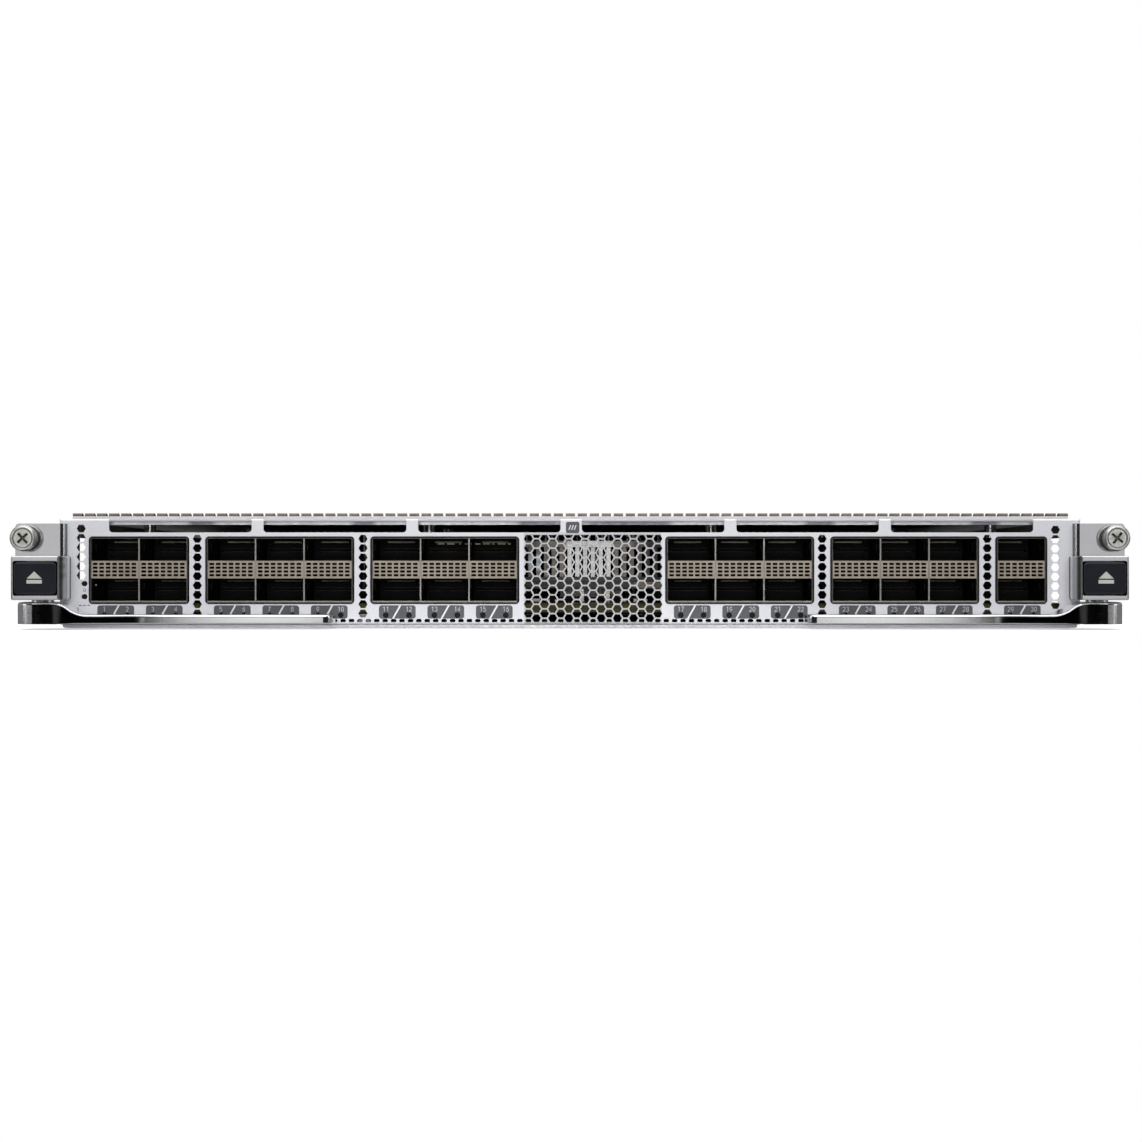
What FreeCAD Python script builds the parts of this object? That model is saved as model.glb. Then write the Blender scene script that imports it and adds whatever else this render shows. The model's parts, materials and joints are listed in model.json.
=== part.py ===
import FreeCAD, Part
import math, os, re
import Sketcher

# Switch line card: a horizontal card for a modular network chassis.
# Millimetres. +Z up, X across the card, the faceplate looks along -Y.
# The pieces are drawn with the faceplate's front at y = 0 and then carried by
# their Placement to the card's own origin, the middle of its footprint.

V = FreeCAD.Vector
doc = FreeCAD.newDocument("switch_line_card")

# ------------------------------------------------------------------ dimensions
DIMS = {
    # whole card
    "facey": -246.0,        # faceplate front in the card's own frame
    "sheet": 1.0,           # faceplate sheet
    "facewide": 400.0,
    "facelow": 1.2,
    "facetop": 42.8,
    "returndeep": 9.6,      # depth of the faceplate's folded edges
    "bendout": 0.9,         # outer bend radius of the faceplate
    # tray
    "traywide": 397.6,
    "traythick": 1.2,
    "traydeep": 512.0,
    "traywall": 9.0,
    # cover
    "coverlow": 41.6,
    "coverthick": 1.0,
    "coverfront": 10.2,
    "coverback": 508.0,
    "coverwide": 397.4,
    "coverlip": 7.0,
    "coverhem": 1.1,
    # side brackets
    "earback": 38.0,
    "earfront": 4.0,
    "earthick": 1.2,
    # board
    "boardwide": 392.0,
    "boardlow": 6.1,
    "boardthick": 3.4,
    "boardfront": 2.2,
    "boardback": 506.0,
    # ports
    "portpitch": 19.0,
    "cageback": 60.0,
    "cagelow": 9.5,
    "cagetop": 35.5,
    "cavlow": 10.55,
    "cavtop": 34.95,
    "divider": 0.55,
    "cagewall": 0.25,
    "collar": 0.3,
    "collarlow": 9.75,
    "collartop": 35.35,
    "collarout": 0.5,
    "collarin": 1.6,
    "cutside": 0.72,
    "cutlow": 9.28,
    "cuttop": 35.82,
    "cutround": 1.5,
    "seplow": 19.35,
    "septop": 26.25,
    "sepwide": 18.35,
    "sepback": 44.0,
    "seplate": 0.45,
    "connfront": 45.0,
    "connback": 59.2,
    "connwide": 18.1,
    "nosefront": 41.4,
    "nosewide": 16.6,
    "nosehigh": 5.0,
    "slotwide": 15.2,
    "slothigh": 1.5,
    # vents
    "hexflat": 3.1,
    "hexrise": 3.66,
    "hexstep": 3.17,
    "hexhigh": 34.87,
    "ledr": 1.15,
    "piper": 1.05,
    "ledhigh": 4.94,
    "ledside": 4.5,
    # gasket
    "gaskpitch": 4.713,
    "gaskgap": 1.06,
    "gasktop": 44.9,
    # latch bracket
    "housout": 213.8,
    "housin": 195.5,
    "housfront": 31.6,
    "houslow": 11.1,
    "houstop": 28.0,
    "blockfront": 16.0,
    "windout": 213.05,
    "windin": 196.0,
    "windlow": 12.75,
    "windtop": 26.15,
    "tabout": 216.5,
    "tabin": 199.6,
    "tabtop": 40.8,
    "tabfront": 5.0,
    "tabback": 2.5,
    "tabwall": 196.9,
    # pivot
    "pivx": 204.5,
    "pivy": 12.0,
    "pinr": 2.0,
    "borer": 2.06,
    "pinheadr": 3.4,
    "hubr": 4.0,
    "levertop": 10.3,
    "leverlow": 1.8,
    "bartop": 5.5,
    "barlow": 2.2,
    "leverskin": 1.6,
    # button
    "butout": 212.85,
    "butin": 196.2,
    "butlow": 12.95,
    "buttop": 25.95,
    "butfront": 32.0,
    "butback": 21.0,
    "butx": 204.5,
    "butz": 19.45,
    "stemr": 1.5,
    "coilr": 2.5,
    "coilin": 1.75,
    "boretip": 5.0,
    # captive screw
    "screwx": 212.0,
    "screwz": 35.0,
    "knobr": 5.15,
    "knobfront": 15.5,
    "knobback": 10.0,
    "shankr": 1.75,
    "neckr": 1.35,
    "threadfrom": -1.55,
    "shanktip": 3.0,
    "ferruler": 4.1,
    "ferrulefront": 8.8,
}

sheet = doc.addObject("Spreadsheet::Sheet", "dims")
for row, (key, val) in enumerate(DIMS.items(), start=1):
    sheet.set("A%d" % row, key)
    sheet.set("B%d" % row, repr(val))
    sheet.setAlias("B%d" % row, key)
doc.recompute()
WORD = re.compile(r"[a-z]+")


def ex(text):
    """A sheet expression: bare aliases get the sheet's name in front."""
    return WORD.sub(lambda m: "dims." + m.group(0) if m.group(0) in DIMS else m.group(0), text)


def num(key):
    return float(sheet.get(key))


def bind(obj, prop, value):
    if isinstance(value, str):
        obj.setExpression(prop, ex(value))
    else:
        head = obj
        names = prop.split(".")
        if len(names) == 1:
            setattr(head, prop, value)
        else:
            obj.setExpression(prop, repr(float(value)))


count = [0]


def fresh(kind, name):
    count[0] += 1
    return doc.addObject(kind, "%s_%d" % (name, count[0]))


def place(obj, x, y, z):
    for axis, value in zip("xyz", (x, y, z)):
        if value != 0:
            obj.setExpression("Placement.Base." + axis, ex(value) if isinstance(value, str) else repr(float(value)))
    return obj


def box(x, y, z, dx, dy, dz, name="block"):
    b = fresh("Part::Box", name)
    bind(b, "Length", dx)
    bind(b, "Width", dy)
    bind(b, "Height", dz)
    return place(b, x, y, z)


TURN = {"z": FreeCAD.Rotation(), "y": FreeCAD.Rotation(V(1, 0, 0), -90), "x": FreeCAD.Rotation(V(0, 1, 0), 90)}


def rod(x, y, z, r, length, axis="z", name="rod"):
    c = fresh("Part::Cylinder", name)
    bind(c, "Radius", r)
    bind(c, "Height", length)
    c.Placement = FreeCAD.Placement(V(0, 0, 0), TURN[axis])
    return place(c, x, y, z)


def cone(x, y, z, r1, r2, length, axis="z", name="cone"):
    c = fresh("Part::Cone", name)
    bind(c, "Radius1", r1)
    bind(c, "Radius2", r2)
    bind(c, "Height", length)
    c.Placement = FreeCAD.Placement(V(0, 0, 0), TURN[axis])
    return place(c, x, y, z)


def fuse(parts, name="fused"):
    f = fresh("Part::MultiFuse", name)
    f.Shapes = parts
    return f


def group(parts, name="set"):
    g = fresh("Part::Compound", name)
    g.Links = parts
    return g


def cut(base, tools, name="cut"):
    c = fresh("Part::Cut", name)
    c.Base = base
    c.Tool = tools[0] if len(tools) == 1 else group(tools, "tools")
    return c


def common(a, b, name="common"):
    c = fresh("Part::Common", name)
    c.Base, c.Tool = a, b
    return c


def ring(x, y, z, r_out, r_in, length, axis="z", name="ring"):
    """A plain tube, open at both ends."""
    outer = rod(x, y, z, r_out, length, axis)
    inner = rod(x, y, z, r_in, length, axis)
    return cut(outer, [inner], name)


NODES = []


def node(obj, label):
    """Names a finished sub-part and carries it to the card's frame."""
    obj.Label = label
    base = obj.Placement.Base
    obj.setExpression("Placement.Base.y", ex("facey"))
    NODES.append(obj)
    return obj


def mirrored(obj, label):
    """The right-hand piece of a pair."""
    m = fresh("Part::Mirroring", "mirror")
    m.Source = obj
    m.Base = V(0, 0, 0)
    m.Normal = V(1, 0, 0)
    m.Label = label
    NODES.append(m)
    return m


# --------------------------------------------------------------- sketch helpers
def origin_plane(body, role):
    for o in body.Origin.OriginFeatures:
        if o.Role == role:
            return o


def new_body(label):
    b = doc.addObject("PartDesign::Body", label)
    b.Label = label
    return b


def sketch(body, role="XZ_Plane", at=None, name="sketch"):
    """at: distance of the sketch's plane from the origin plane, along its normal."""
    sk = body.newObject("Sketcher::SketchObject", name)
    sk.AttachmentSupport = [(origin_plane(body, role), "")]
    sk.MapMode = "FlatFace"
    if at is not None:
        sk.setExpression("AttachmentOffset.Base.z", ex(at) if isinstance(at, str) else repr(float(at)))
    return sk


def loop(sk, pts):
    """A closed chain of straight edges."""
    n = len(pts)
    vs = [V(p[0], p[1], 0) for p in pts]
    sk.addGeometry([Part.LineSegment(vs[i], vs[(i + 1) % n]) for i in range(n)], False)


def bound_rect(sk, x0, x1, z0, z1):
    """A rectangle whose four sides are tied to sheet expressions."""
    start = sk.GeometryCount
    loop(sk, [(0, 0), (10, 0), (10, 10), (0, 10)])
    for i in range(4):
        sk.addConstraint(Sketcher.Constraint("Coincident", start + i, 2, start + (i + 1) % 4, 1))
    sk.addConstraint(Sketcher.Constraint("Horizontal", start))
    sk.addConstraint(Sketcher.Constraint("Horizontal", start + 2))
    sk.addConstraint(Sketcher.Constraint("Vertical", start + 1))
    sk.addConstraint(Sketcher.Constraint("Vertical", start + 3))
    for kind, point, value in (("DistanceX", (start, 1), x0), ("DistanceX", (start, 2), x1),
                               ("DistanceY", (start, 1), z0), ("DistanceY", (start + 2, 1), z1)):
        # the far corner's height is read at the third edge's start
        k = sk.addConstraint(Sketcher.Constraint(kind, -1, 1, point[0], point[1], 1.0 if kind == "DistanceX" else 1.0))
        sk.setExpression("Constraints[%d]" % k, ex(value))
    return start


def rects(sk, cells):
    for x0, x1, z0, z1 in cells:
        loop(sk, [(x0, z0), (x1, z0), (x1, z1), (x0, z1)])


def round_rect(sk, x0, x1, z0, z1, r, corners=(True, True, True, True)):
    """Corners in the order low-left, low-right, high-right, high-left."""
    q = [r if c else 0.0 for c in corners]
    mid = [(x0 + q[0], z0 + q[0]), (x1 - q[1], z0 + q[1]), (x1 - q[2], z1 - q[2]), (x0 + q[3], z1 - q[3])]
    ends = [
        ((x0, z0 + q[0]), (x0 + q[0], z0)),
        ((x1 - q[1], z0), (x1, z0 + q[1])),
        ((x1, z1 - q[2]), (x1 - q[2], z1)),
        ((x0 + q[3], z1), (x0, z1 - q[3])),
    ]
    turn = [math.pi, 1.5 * math.pi, 0.0, 0.5 * math.pi]
    geo = []
    for i in range(4):
        if q[i] > 0:
            circle = Part.Circle(V(mid[i][0], mid[i][1], 0), V(0, 0, 1), q[i])
            geo.append(Part.ArcOfCircle(circle, turn[i], turn[i] + 0.5 * math.pi))
        a, b = ends[i][1], ends[(i + 1) % 4][0]
        if math.hypot(b[0] - a[0], b[1] - a[1]) > 1e-6:
            geo.append(Part.LineSegment(V(a[0], a[1], 0), V(b[0], b[1], 0)))
    sk.addGeometry(geo, False)


def hexagon(cx, cz, flat, low=None, high=None):
    """Six corners, points to the sides; low or high cut it off flat."""
    r = flat / math.sqrt(3)
    pts = [(cx + r * math.cos(math.radians(60 * k)), cz + r * math.sin(math.radians(60 * k))) for k in range(6)]
    if high is None and low is None:
        return pts
    out = []
    for i in range(6):
        a, b = pts[i], pts[(i + 1) % 6]
        inside = lambda p: (high is None or p[1] <= high) and (low is None or p[1] >= low)
        if inside(a):
            out.append(a)
        if inside(a) != inside(b):
            edge = high if (high is not None and (a[1] > high) != (b[1] > high)) else low
            t = (edge - a[1]) / (b[1] - a[1])
            out.append((a[0] + t * (b[0] - a[0]), edge))
    return out


def circles(sk, centres, r):
    for cx, cz in centres:
        sk.addGeometry(Part.Circle(V(cx, cz, 0), V(0, 0, 1), r), False)


def pad(body, sk, length, toward=True, name="pad"):
    """On the XZ plane, toward=True runs to +Y; on the others to the plane's normal."""
    p = body.newObject("PartDesign::Pad", name)
    p.Profile = sk
    bind(p, "Length", length)
    p.Reversed = toward if sk.AttachmentSupport[0][0].Role == "XZ_Plane" else not toward
    p.Refine = False
    return p


def pocket(body, sk, length, toward=True, name="pocket"):
    """On the XZ plane, toward=True cuts to +Y; on the others against the normal."""
    before = body.Tip.Shape.Volume if body.Tip and not body.Tip.Shape.isNull() else 0
    p = body.newObject("PartDesign::Pocket", name)
    p.Profile = sk
    bind(p, "Length", length)
    p.Reversed = not toward
    p.Refine = False
    doc.recompute()
    if not p.Shape.Volume < before - 1e-6:
        raise RuntimeError("%s/%s cut nothing" % (body.Label, name))
    return p


def edges_where(shape, test):
    return ["Edge%d" % (i + 1) for i, e in enumerate(shape.Edges) if test(e)]


def fillet(body, feature, test, radius, name="fillet"):
    names = edges_where(feature.Shape, test)
    if not names:
        raise RuntimeError("no edge for " + name)
    f = body.newObject("PartDesign::Fillet", name)
    f.Base = (feature, names)
    bind(f, "Radius", radius)
    f.Refine = False
    doc.recompute()
    return f


def on(e, **limits):
    """Do all of an edge's end points lie at the given coordinates?"""
    for key, value in limits.items():
        for v in e.Vertexes:
            if abs(getattr(v.Point, key) - value) > 1e-4:
                return False
    return True


# ------------------------------------------------------------------ port layout
GROUPS = [(2, -168.85), (3, -113.7), (3, -49.05), (3, 66.5), (3, 131.15), (1, 176.8)]
PITCH = num("portpitch")
COLUMNS = []  # (group, column centre)
for g, (n, centre) in enumerate(GROUPS):
    for k in range(n):
        COLUMNS.append((g, centre + (k - (n - 1) / 2.0) * PITCH))

# -------------------------------------------------------------------- base tray
tray = new_body("base_tray")
s = sketch(tray, "XY_Plane", name="floor")
bound_rect(s, "-traywide/2", "traywide/2", "0", "traydeep")
p = pad(tray, s, "traythick", name="floor_pad")
doc.recompute()
s = sketch(tray, "XY_Plane", name="walls")
bound_rect(s, "-traywide/2", "-traywide/2+traythick", "earback+2", "traydeep")
bound_rect(s, "traywide/2-traythick", "traywide/2", "earback+2", "traydeep")
p = pad(tray, s, "traywall", name="walls_pad")
doc.recompute()
f = fillet(tray, p, lambda e: on(e, z=0) and abs(abs(e.CenterOfMass.x) - num("traywide") / 2) < 1e-3
           and e.Length > 400, "traythick*0.9", "fold")
# the rear corners are cut away for the chassis guides, and the floor has drain and rivet holes
s = sketch(tray, "XY_Plane", "traywall+1", name="reliefs")
W2, TD = num("traywide") / 2, num("traydeep")
rects(s, [(-W2 - 1, -W2 + 9, TD - 14, TD + 1), (W2 - 9, W2 + 1, TD - 14, TD + 1)])
for cx in (-150, -90, -30, 30, 90, 150):
    round_rect(s, cx - 14, cx + 14, 300, 306, 3.0)
circles(s, [(x, y) for x in (-191, 191) for y in (6.5, 5.0 + 128, 5 + 260, 5 + 392)], 1.6)
pocket(tray, s, "traywall+3", name="reliefs_cut")
node(tray, "base_tray")

# -------------------------------------------------------------------- faceplate
face = new_body("faceplate")
s = sketch(face, name="plate")
bound_rect(s, "-facewide/2", "facewide/2", "facelow", "facetop")
p = pad(face, s, "sheet", name="plate_pad")
doc.recompute()
s = sketch(face, name="returns")
bound_rect(s, "-facewide/2+3", "facewide/2-3", "facetop-sheet", "facetop")
bound_rect(s, "-facewide/2+3", "facewide/2-3", "facelow", "facelow+sheet")
bound_rect(s, "-facewide/2", "-facewide/2+sheet", "facelow+3", "facetop-3")
bound_rect(s, "facewide/2-sheet", "facewide/2", "facelow+3", "facetop-3")
p = pad(face, s, "returndeep", name="returns_pad")
doc.recompute()
p = fillet(face, p, lambda e: on(e, y=0), "bendout", "bends")
FLAT, RISE, STEP = num("hexflat"), num("hexrise"), num("hexstep")
HIGH = num("hexhigh")
s = sketch(face, name="piercing")
for n, centre in GROUPS:
    half = n * PITCH / 2 + num("cutside")
    round_rect(s, centre - half, centre + half, num("cutlow"), num("cuttop"), num("cutround"))
# six long slots under the top edge
for x0, x1 in ((-180.6, -124.7), (-120.1, -64.1), (-59.5, -3.7), (4.6, 60.5), (65.2, 121.0), (125.7, 181.5)):
    round_rect(s, x0, x1, 37.35, 42.5, 1.45, (True, True, False, False))
# columns of hexagonal vents between the port groups and at both ends
for cx in (-146.0, -81.1, 98.8, 163.5):
    for k in range(9):
        loop(s, hexagon(cx, HIGH - k * RISE, FLAT))
for cz in (38.9, 35.2, 31.5, 27.8, 24.1, 20.5):
    loop(s, hexagon(-191.5, cz, FLAT))
for k in range(9):
    loop(s, hexagon(190.2, 38.4 - k * 3.68, FLAT))
# honeycomb in the middle: nine columns standing high, eight standing half a step low
HONEY0 = -16.3
for i in range(17):
    cx = HONEY0 + i * STEP
    if i % 2 == 0:
        for k in range(9):
            loop(s, hexagon(cx, HIGH - k * RISE, FLAT))
    else:
        loop(s, hexagon(cx, HIGH + RISE / 2, FLAT, high=HIGH + FLAT / 2))
        for k in range(9):
            loop(s, hexagon(cx, HIGH - RISE / 2 - k * RISE, FLAT))
# one row of small slots along the bottom
FOOT = [HONEY0 + i * STEP for i in range(0, 17, 2)]
x = HONEY0 - 3.3
while x > -194:
    FOOT.append(x)
    x -= 3.3
x = HONEY0 + 16 * STEP + 3.3
while x < 194:
    FOOT.append(x)
    x += 3.3
for cx in FOOT:
    loop(s, [(cx - 1.2, 2.74), (cx - 0.75, 2.0), (cx + 0.75, 2.0), (cx + 1.2, 2.74), (cx + 0.75, 3.48), (cx - 0.75, 3.48)])
# lamp holes under each port pair, two status lamps, and the latch brackets' fixing holes
LEDS = [(cx + 0.4 + side * num("ledside"), num("ledhigh")) for g, cx in COLUMNS for side in (-1, 1)]
circles(s, LEDS + [(-190.2, 17.3), (-190.2, 12.2)], num("ledr"))
circles(s, [(sx * 197.5, z) for sx in (-1, 1) for z in (14.5, 24.5)], 1.05)
p = pocket(face, s, "sheet", name="piercing_cut")
node(face, "faceplate")

# -------------------------------------------------------------------- top cover
cover = new_body("top_cover")
s = sketch(cover, "XY_Plane", "coverlow", name="lid")
bound_rect(s, "-coverwide/2", "coverwide/2", "coverfront", "coverback")
p = pad(cover, s, "coverthick", name="lid_pad")
doc.recompute()
s = sketch(cover, "XY_Plane", "coverlow+coverthick", name="lips")
bound_rect(s, "-coverwide/2", "-coverwide/2+coverthick", "earback+2", "coverback")
bound_rect(s, "coverwide/2-coverthick", "coverwide/2", "earback+2", "coverback")
p = pad(cover, s, "coverlip", toward=False, name="lips_pad")
doc.recompute()
s = sketch(cover, "XY_Plane", "coverlow+coverthick", name="hem")
bound_rect(s, "-coverwide/2+6", "coverwide/2-6", "coverfront", "coverfront+coverthick")
p = pad(cover, s, "coverhem+coverthick", toward=False, name="hem_pad")
doc.recompute()
p = fillet(cover, p, lambda e: on(e, z=num("coverlow") + num("coverthick")) and e.Length > 300
           and (abs(abs(e.CenterOfMass.x) - num("coverwide") / 2) < 1e-3 or abs(e.CenterOfMass.y - num("coverfront")) < 1e-3),
           "coverthick*0.9", "fold")
POSTS = [(x, 67.0) for x in (-173, -58, 58, 173)] + [(-150, 262), (-56, 228), (74, 228), (150, 262)] + [(x, 470) for x in (-150, -50, 50, 150)]
s = sketch(cover, "XY_Plane", "coverlow+coverthick", name="screw_holes")
circles(s, POSTS, 1.6)
p = pocket(cover, s, "coverthick", name="screw_holes_cut")
node(cover, "top_cover")

# --------------------------------------------------------------- side brackets
# a folded upright at each front corner, between tray, cover and faceplate
ear = new_body("side_bracket_left")
s = sketch(ear, "YZ_Plane", "-traywide/2", name="web")
bound_rect(s, "earfront", "earback", "traythick", "coverlow")
p = pad(ear, s, "earthick", name="web_pad")
doc.recompute()
s = sketch(ear, "YZ_Plane", "-traywide/2", name="feet")
bound_rect(s, "earfront+8", "earback-4", "traythick", "traythick+earthick")
bound_rect(s, "earfront+8", "earback-4", "coverlow-earthick", "coverlow")
p = pad(ear, s, 6.0, name="feet_pad")
doc.recompute()
s = sketch(ear, "YZ_Plane", "-traywide/2+earthick", name="lightening")
round_rect(s, 12, 26, 13, 31, 3.0)
pocket(ear, s, "earthick", name="lightening_cut")
node(ear, "side_bracket_left")
mirrored(ear, "side_bracket_right")

# ---------------------------------------------------------------- circuit board
board = new_body("circuit_board")
s = sketch(board, "XY_Plane", "boardlow", name="outline")
bound_rect(s, "-boardwide/2", "boardwide/2", "boardfront", "boardback")
p = pad(board, s, "boardthick", name="board_pad")
doc.recompute()
BOLTS = [(x, y) for y in (84, 210, 330, 440) for x in (-184, -62, 62, 184)]
s = sketch(board, "XY_Plane", "boardlow+boardthick", name="holes")
circles(s, BOLTS, 1.7)
BW, BB = num("boardwide") / 2, num("boardback")
rects(s, [(-BW - 1, -BW + 12, 480, BB + 1), (BW - 12, BW + 1, 480, BB + 1), (-2.4, 12.4, BB - 16, BB + 1)])
rects(s, [(sx * 193.2 - 3.5, sx * 193.2 + 3.5, num("boardfront") - 1, 9.5) for sx in (-1, 1)])
pocket(board, s, "boardthick+1", name="holes_cut")
node(board, "circuit_board")

node(group([rod(x, y, "traythick", 2.8, "boardlow-traythick") for x, y in BOLTS]), "board_standoffs")
screws = []
for x, y in BOLTS:
    shank = rod(x, y, "boardlow", 1.5, "boardthick")
    head = rod(x, y, "boardlow+boardthick", 2.8, 1.9)
    screws.append(cut(fuse([shank, head]), [rod(x, y, "boardlow+boardthick+0.9", 1.0, 1.5)]))
node(group(screws), "board_screws")

posts = []
for x, y in POSTS:
    body_ = rod(x, y, "boardlow+boardthick", 2.4, "coverlow-boardlow-boardthick")
    posts.append(cut(body_, [rod(x, y, "coverlow-8", 1.25, 9)]))
node(group(posts), "cover_posts")
screws = []
for x, y in POSTS:
    shank = rod(x, y, "coverlow-7", 1.2, "7+coverthick")
    head = rod(x, y, "coverlow+coverthick", 2.7, 1.2)
    screws.append(cut(fuse([shank, head]), [rod(x, y, "coverlow+coverthick+0.5", 0.9, 1.5)]))
node(group(screws), "cover_screws")

# ------------------------------------------------------------------ port cages
for g, (n, centre) in enumerate(GROUPS, start=1):
    half = "%g*portpitch/2" % n
    inner_x = "%g-%s+divider/2" % (centre, half)
    inner_w = "%g*portpitch-divider" % n
    shell = box("%g-%s-cagewall" % (centre, half), "collarin-0.1", "cagelow", "%g*portpitch+2*cagewall" % n, "cageback-collarin+0.1", "cagetop-cagelow")
    rim = new_body("cage_rim_%d" % g)
    s = sketch(rim, at="collarout", name="rim")
    h2 = n * PITCH / 2 + num("collar")
    round_rect(s, centre - h2, centre + h2, num("collarlow"), num("collartop"), 1.1)
    pad(rim, s, "collarout+collarin", name="rim_pad")
    hollow = box(inner_x, -2, "cavlow", inner_w, "cageback+1.4", "cavtop-cavlow")
    cage = cut(fuse([shell, rim]), [hollow])
    node(cage, "port_cage_%d" % g)

walls = []
for n, centre in GROUPS:
    for k in range(1, n):
        x = centre + (k - n / 2.0) * PITCH
        walls.append(box("%g-divider/2" % x, 0, "cavlow", "divider", "cageback-1.2", "cavtop-cavlow"))
node(group(walls), "cage_dividers")

# the vented spacer between the upper and lower port of each column: a folded channel
spacers = []
for i, (g, cx) in enumerate(COLUMNS, start=1):
    sep = new_body("cage_spacer_%d" % i)
    s = sketch(sep, name="front")
    bound_rect(s, "%g-sepwide/2" % cx, "%g+sepwide/2" % cx, "seplow", "septop")
    pad(sep, s, "sepback", name="front_pad")
    doc.recompute()
    s = sketch(sep, at="-seplate", name="channel")
    bound_rect(s, "%g-sepwide/2-0.01" % cx, "%g+sepwide/2+0.01" % cx, "seplow+seplate", "septop-seplate")
    pocket(sep, s, "sepback", name="channel_cut")
    s = sketch(sep, name="vents")
    cells = []
    for i in range(7):
        for j in range(4):
            mx = cx - 0.1 + (i - 3) * 2.52
            mz = 22.8 + (j - 1.5) * 1.47
            cells.append((mx - 0.92, mx + 0.92, mz - 0.45, mz + 0.45))
    rects(s, cells)
    pocket(sep, s, "seplate", name="vents_cut")
    spacers.append(sep)
node(group(spacers), "cage_spacers")

# black host connectors at the back of each column
blocks = []
for g, cx in COLUMNS:
    parts = [box("%g-connwide/2" % cx, "connfront", "cavlow+0.05", "connwide", "connback-connfront", "cavtop-cavlow-0.1")]
    slots = []
    for mz in (14.9, 30.6):
        parts.append(box("%g-nosewide/2" % cx, "nosefront", "%g-nosehigh/2" % mz, "nosewide", "connfront-nosefront+1", "nosehigh"))
        slots.append(box("%g-slotwide/2" % cx, "nosefront-1", "%g-slothigh/2" % mz, "slotwide", "7", "slothigh"))
    blocks.append(cut(fuse(parts), slots))
node(group(blocks), "port_connectors")

# ------------------------------------------------------------------ light pipes
pipes = []
for g, cx in COLUMNS:
    a, b = cx + 0.4 - num("ledside"), cx + 0.4 + num("ledside")
    pipes.append(fuse([rod(a, 0.25, "ledhigh", "piper", 9.0, "y"), rod(b, 0.25, "ledhigh", "piper", 9.0, "y"),
                       box(a, 5.0, "ledhigh-0.8", b - a, 2.0, 1.6)]))
node(group(pipes), "port_light_pipes")
node(fuse([rod(-190.2, 0.25, 17.3, "piper", 10.0, "y"), rod(-190.2, 0.25, 12.2, "piper", 10.0, "y"),
           box(-191.0, 8.0, "cagelow", 1.6, 2.2, 8.4)]), "status_light_pipe")

# ------------------------------------------------------------------ top gasket
# beryllium copper finger strip along the faceplate's top edge
gask = new_body("top_gasket_strip")
G0, GP, GN = -194.9, num("gaskpitch"), 83
s = sketch(gask, "YZ_Plane", G0, name="arch")
zb = num("facetop")
loop(s, [(0.6, zb), (9.2, zb), (9.2, zb + 0.28), (8.4, zb + 0.34), (7.2, zb + 1.3), (5.6, zb + 1.92), (4.0, zb + 2.1),
         (2.4, zb + 1.88), (1.3, zb + 1.2), (0.6, zb + 0.3)])
p = pad(gask, s, GN * GP - num("gaskgap"), name="arch_pad")
doc.recompute()
s = sketch(gask, at=1.0, name="gaps")
rects(s, [(G0 + k * GP - num("gaskgap"), G0 + k * GP, zb + 0.25, zb + 3) for k in range(1, GN)])
pocket(gask, s, 12.0, name="gaps_cut")
node(gask, "top_gasket_strip")

# ------------------------------------------------------------------- heat sinks
def heat_sink(label, cx, y0, width, depth, low, base, top, pitch, fin):
    """One extrusion: base plate with upright fins that run front to back."""
    b = new_body(label)
    s = sketch(b, at=-y0, name="comb")
    n = int((width - fin) / pitch)
    span = n * pitch + fin
    x0 = cx - span / 2
    pts = [(x0, low), (x0 + span, low)]
    for k in range(n, -1, -1):
        a = x0 + k * pitch
        pts += [(a + fin, top), (a, top)]
        if k:
            pts += [(a, base), (a - pitch + fin, base)]
    loop(s, pts)
    pad(b, s, depth, name="comb_pad")
    doc.recompute()
    return node(b, label)


heat_sink("heat_sink_front", 9.53, 82.0, 76.0, 64.0, 15.0, 17.7, 32.2, 3.25, 1.7)
heat_sink("heat_sink_left", -104.0, 120.0, 92.0, 96.0, 14.6, 18.6, 39.0, 2.9, 0.8)
heat_sink("heat_sink_right", 118.0, 120.0, 92.0, 96.0, 14.6, 18.6, 39.0, 2.9, 0.8)
heat_sink("heat_sink_rear", 9.0, 236.0, 118.0, 110.0, 14.6, 18.6, 39.0, 2.9, 0.8)
# the front sink is clamped by a bridge plate across its fins
node(cut(box(-27, 79.8, 32.2, 73, 27, 2.6), [rod(9, 96, 31, 3.0, 6)]), "sink_clamp_plate")

node(group([
    box(-11, 93, "boardlow+boardthick", 40, 40, 1.9),
    box(-126.5, 145.5, "boardlow+boardthick", 45, 45, 1.9),
    box(95.5, 145.5, "boardlow+boardthick", 45, 45, 1.9),
    box(-18.5, 263.5, "boardlow+boardthick", 55, 55, 1.9)]), "chip_substrates")
node(group([
    box(-4, 100, "boardlow+boardthick+1.9", 26, 26, 3.6),
    box(-118, 154, "boardlow+boardthick+1.9", 28, 28, 3.2),
    box(104, 154, "boardlow+boardthick+1.9", 28, 28, 3.2),
    box(-9, 273, "boardlow+boardthick+1.9", 36, 36, 3.2)]), "chip_lids")

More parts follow.
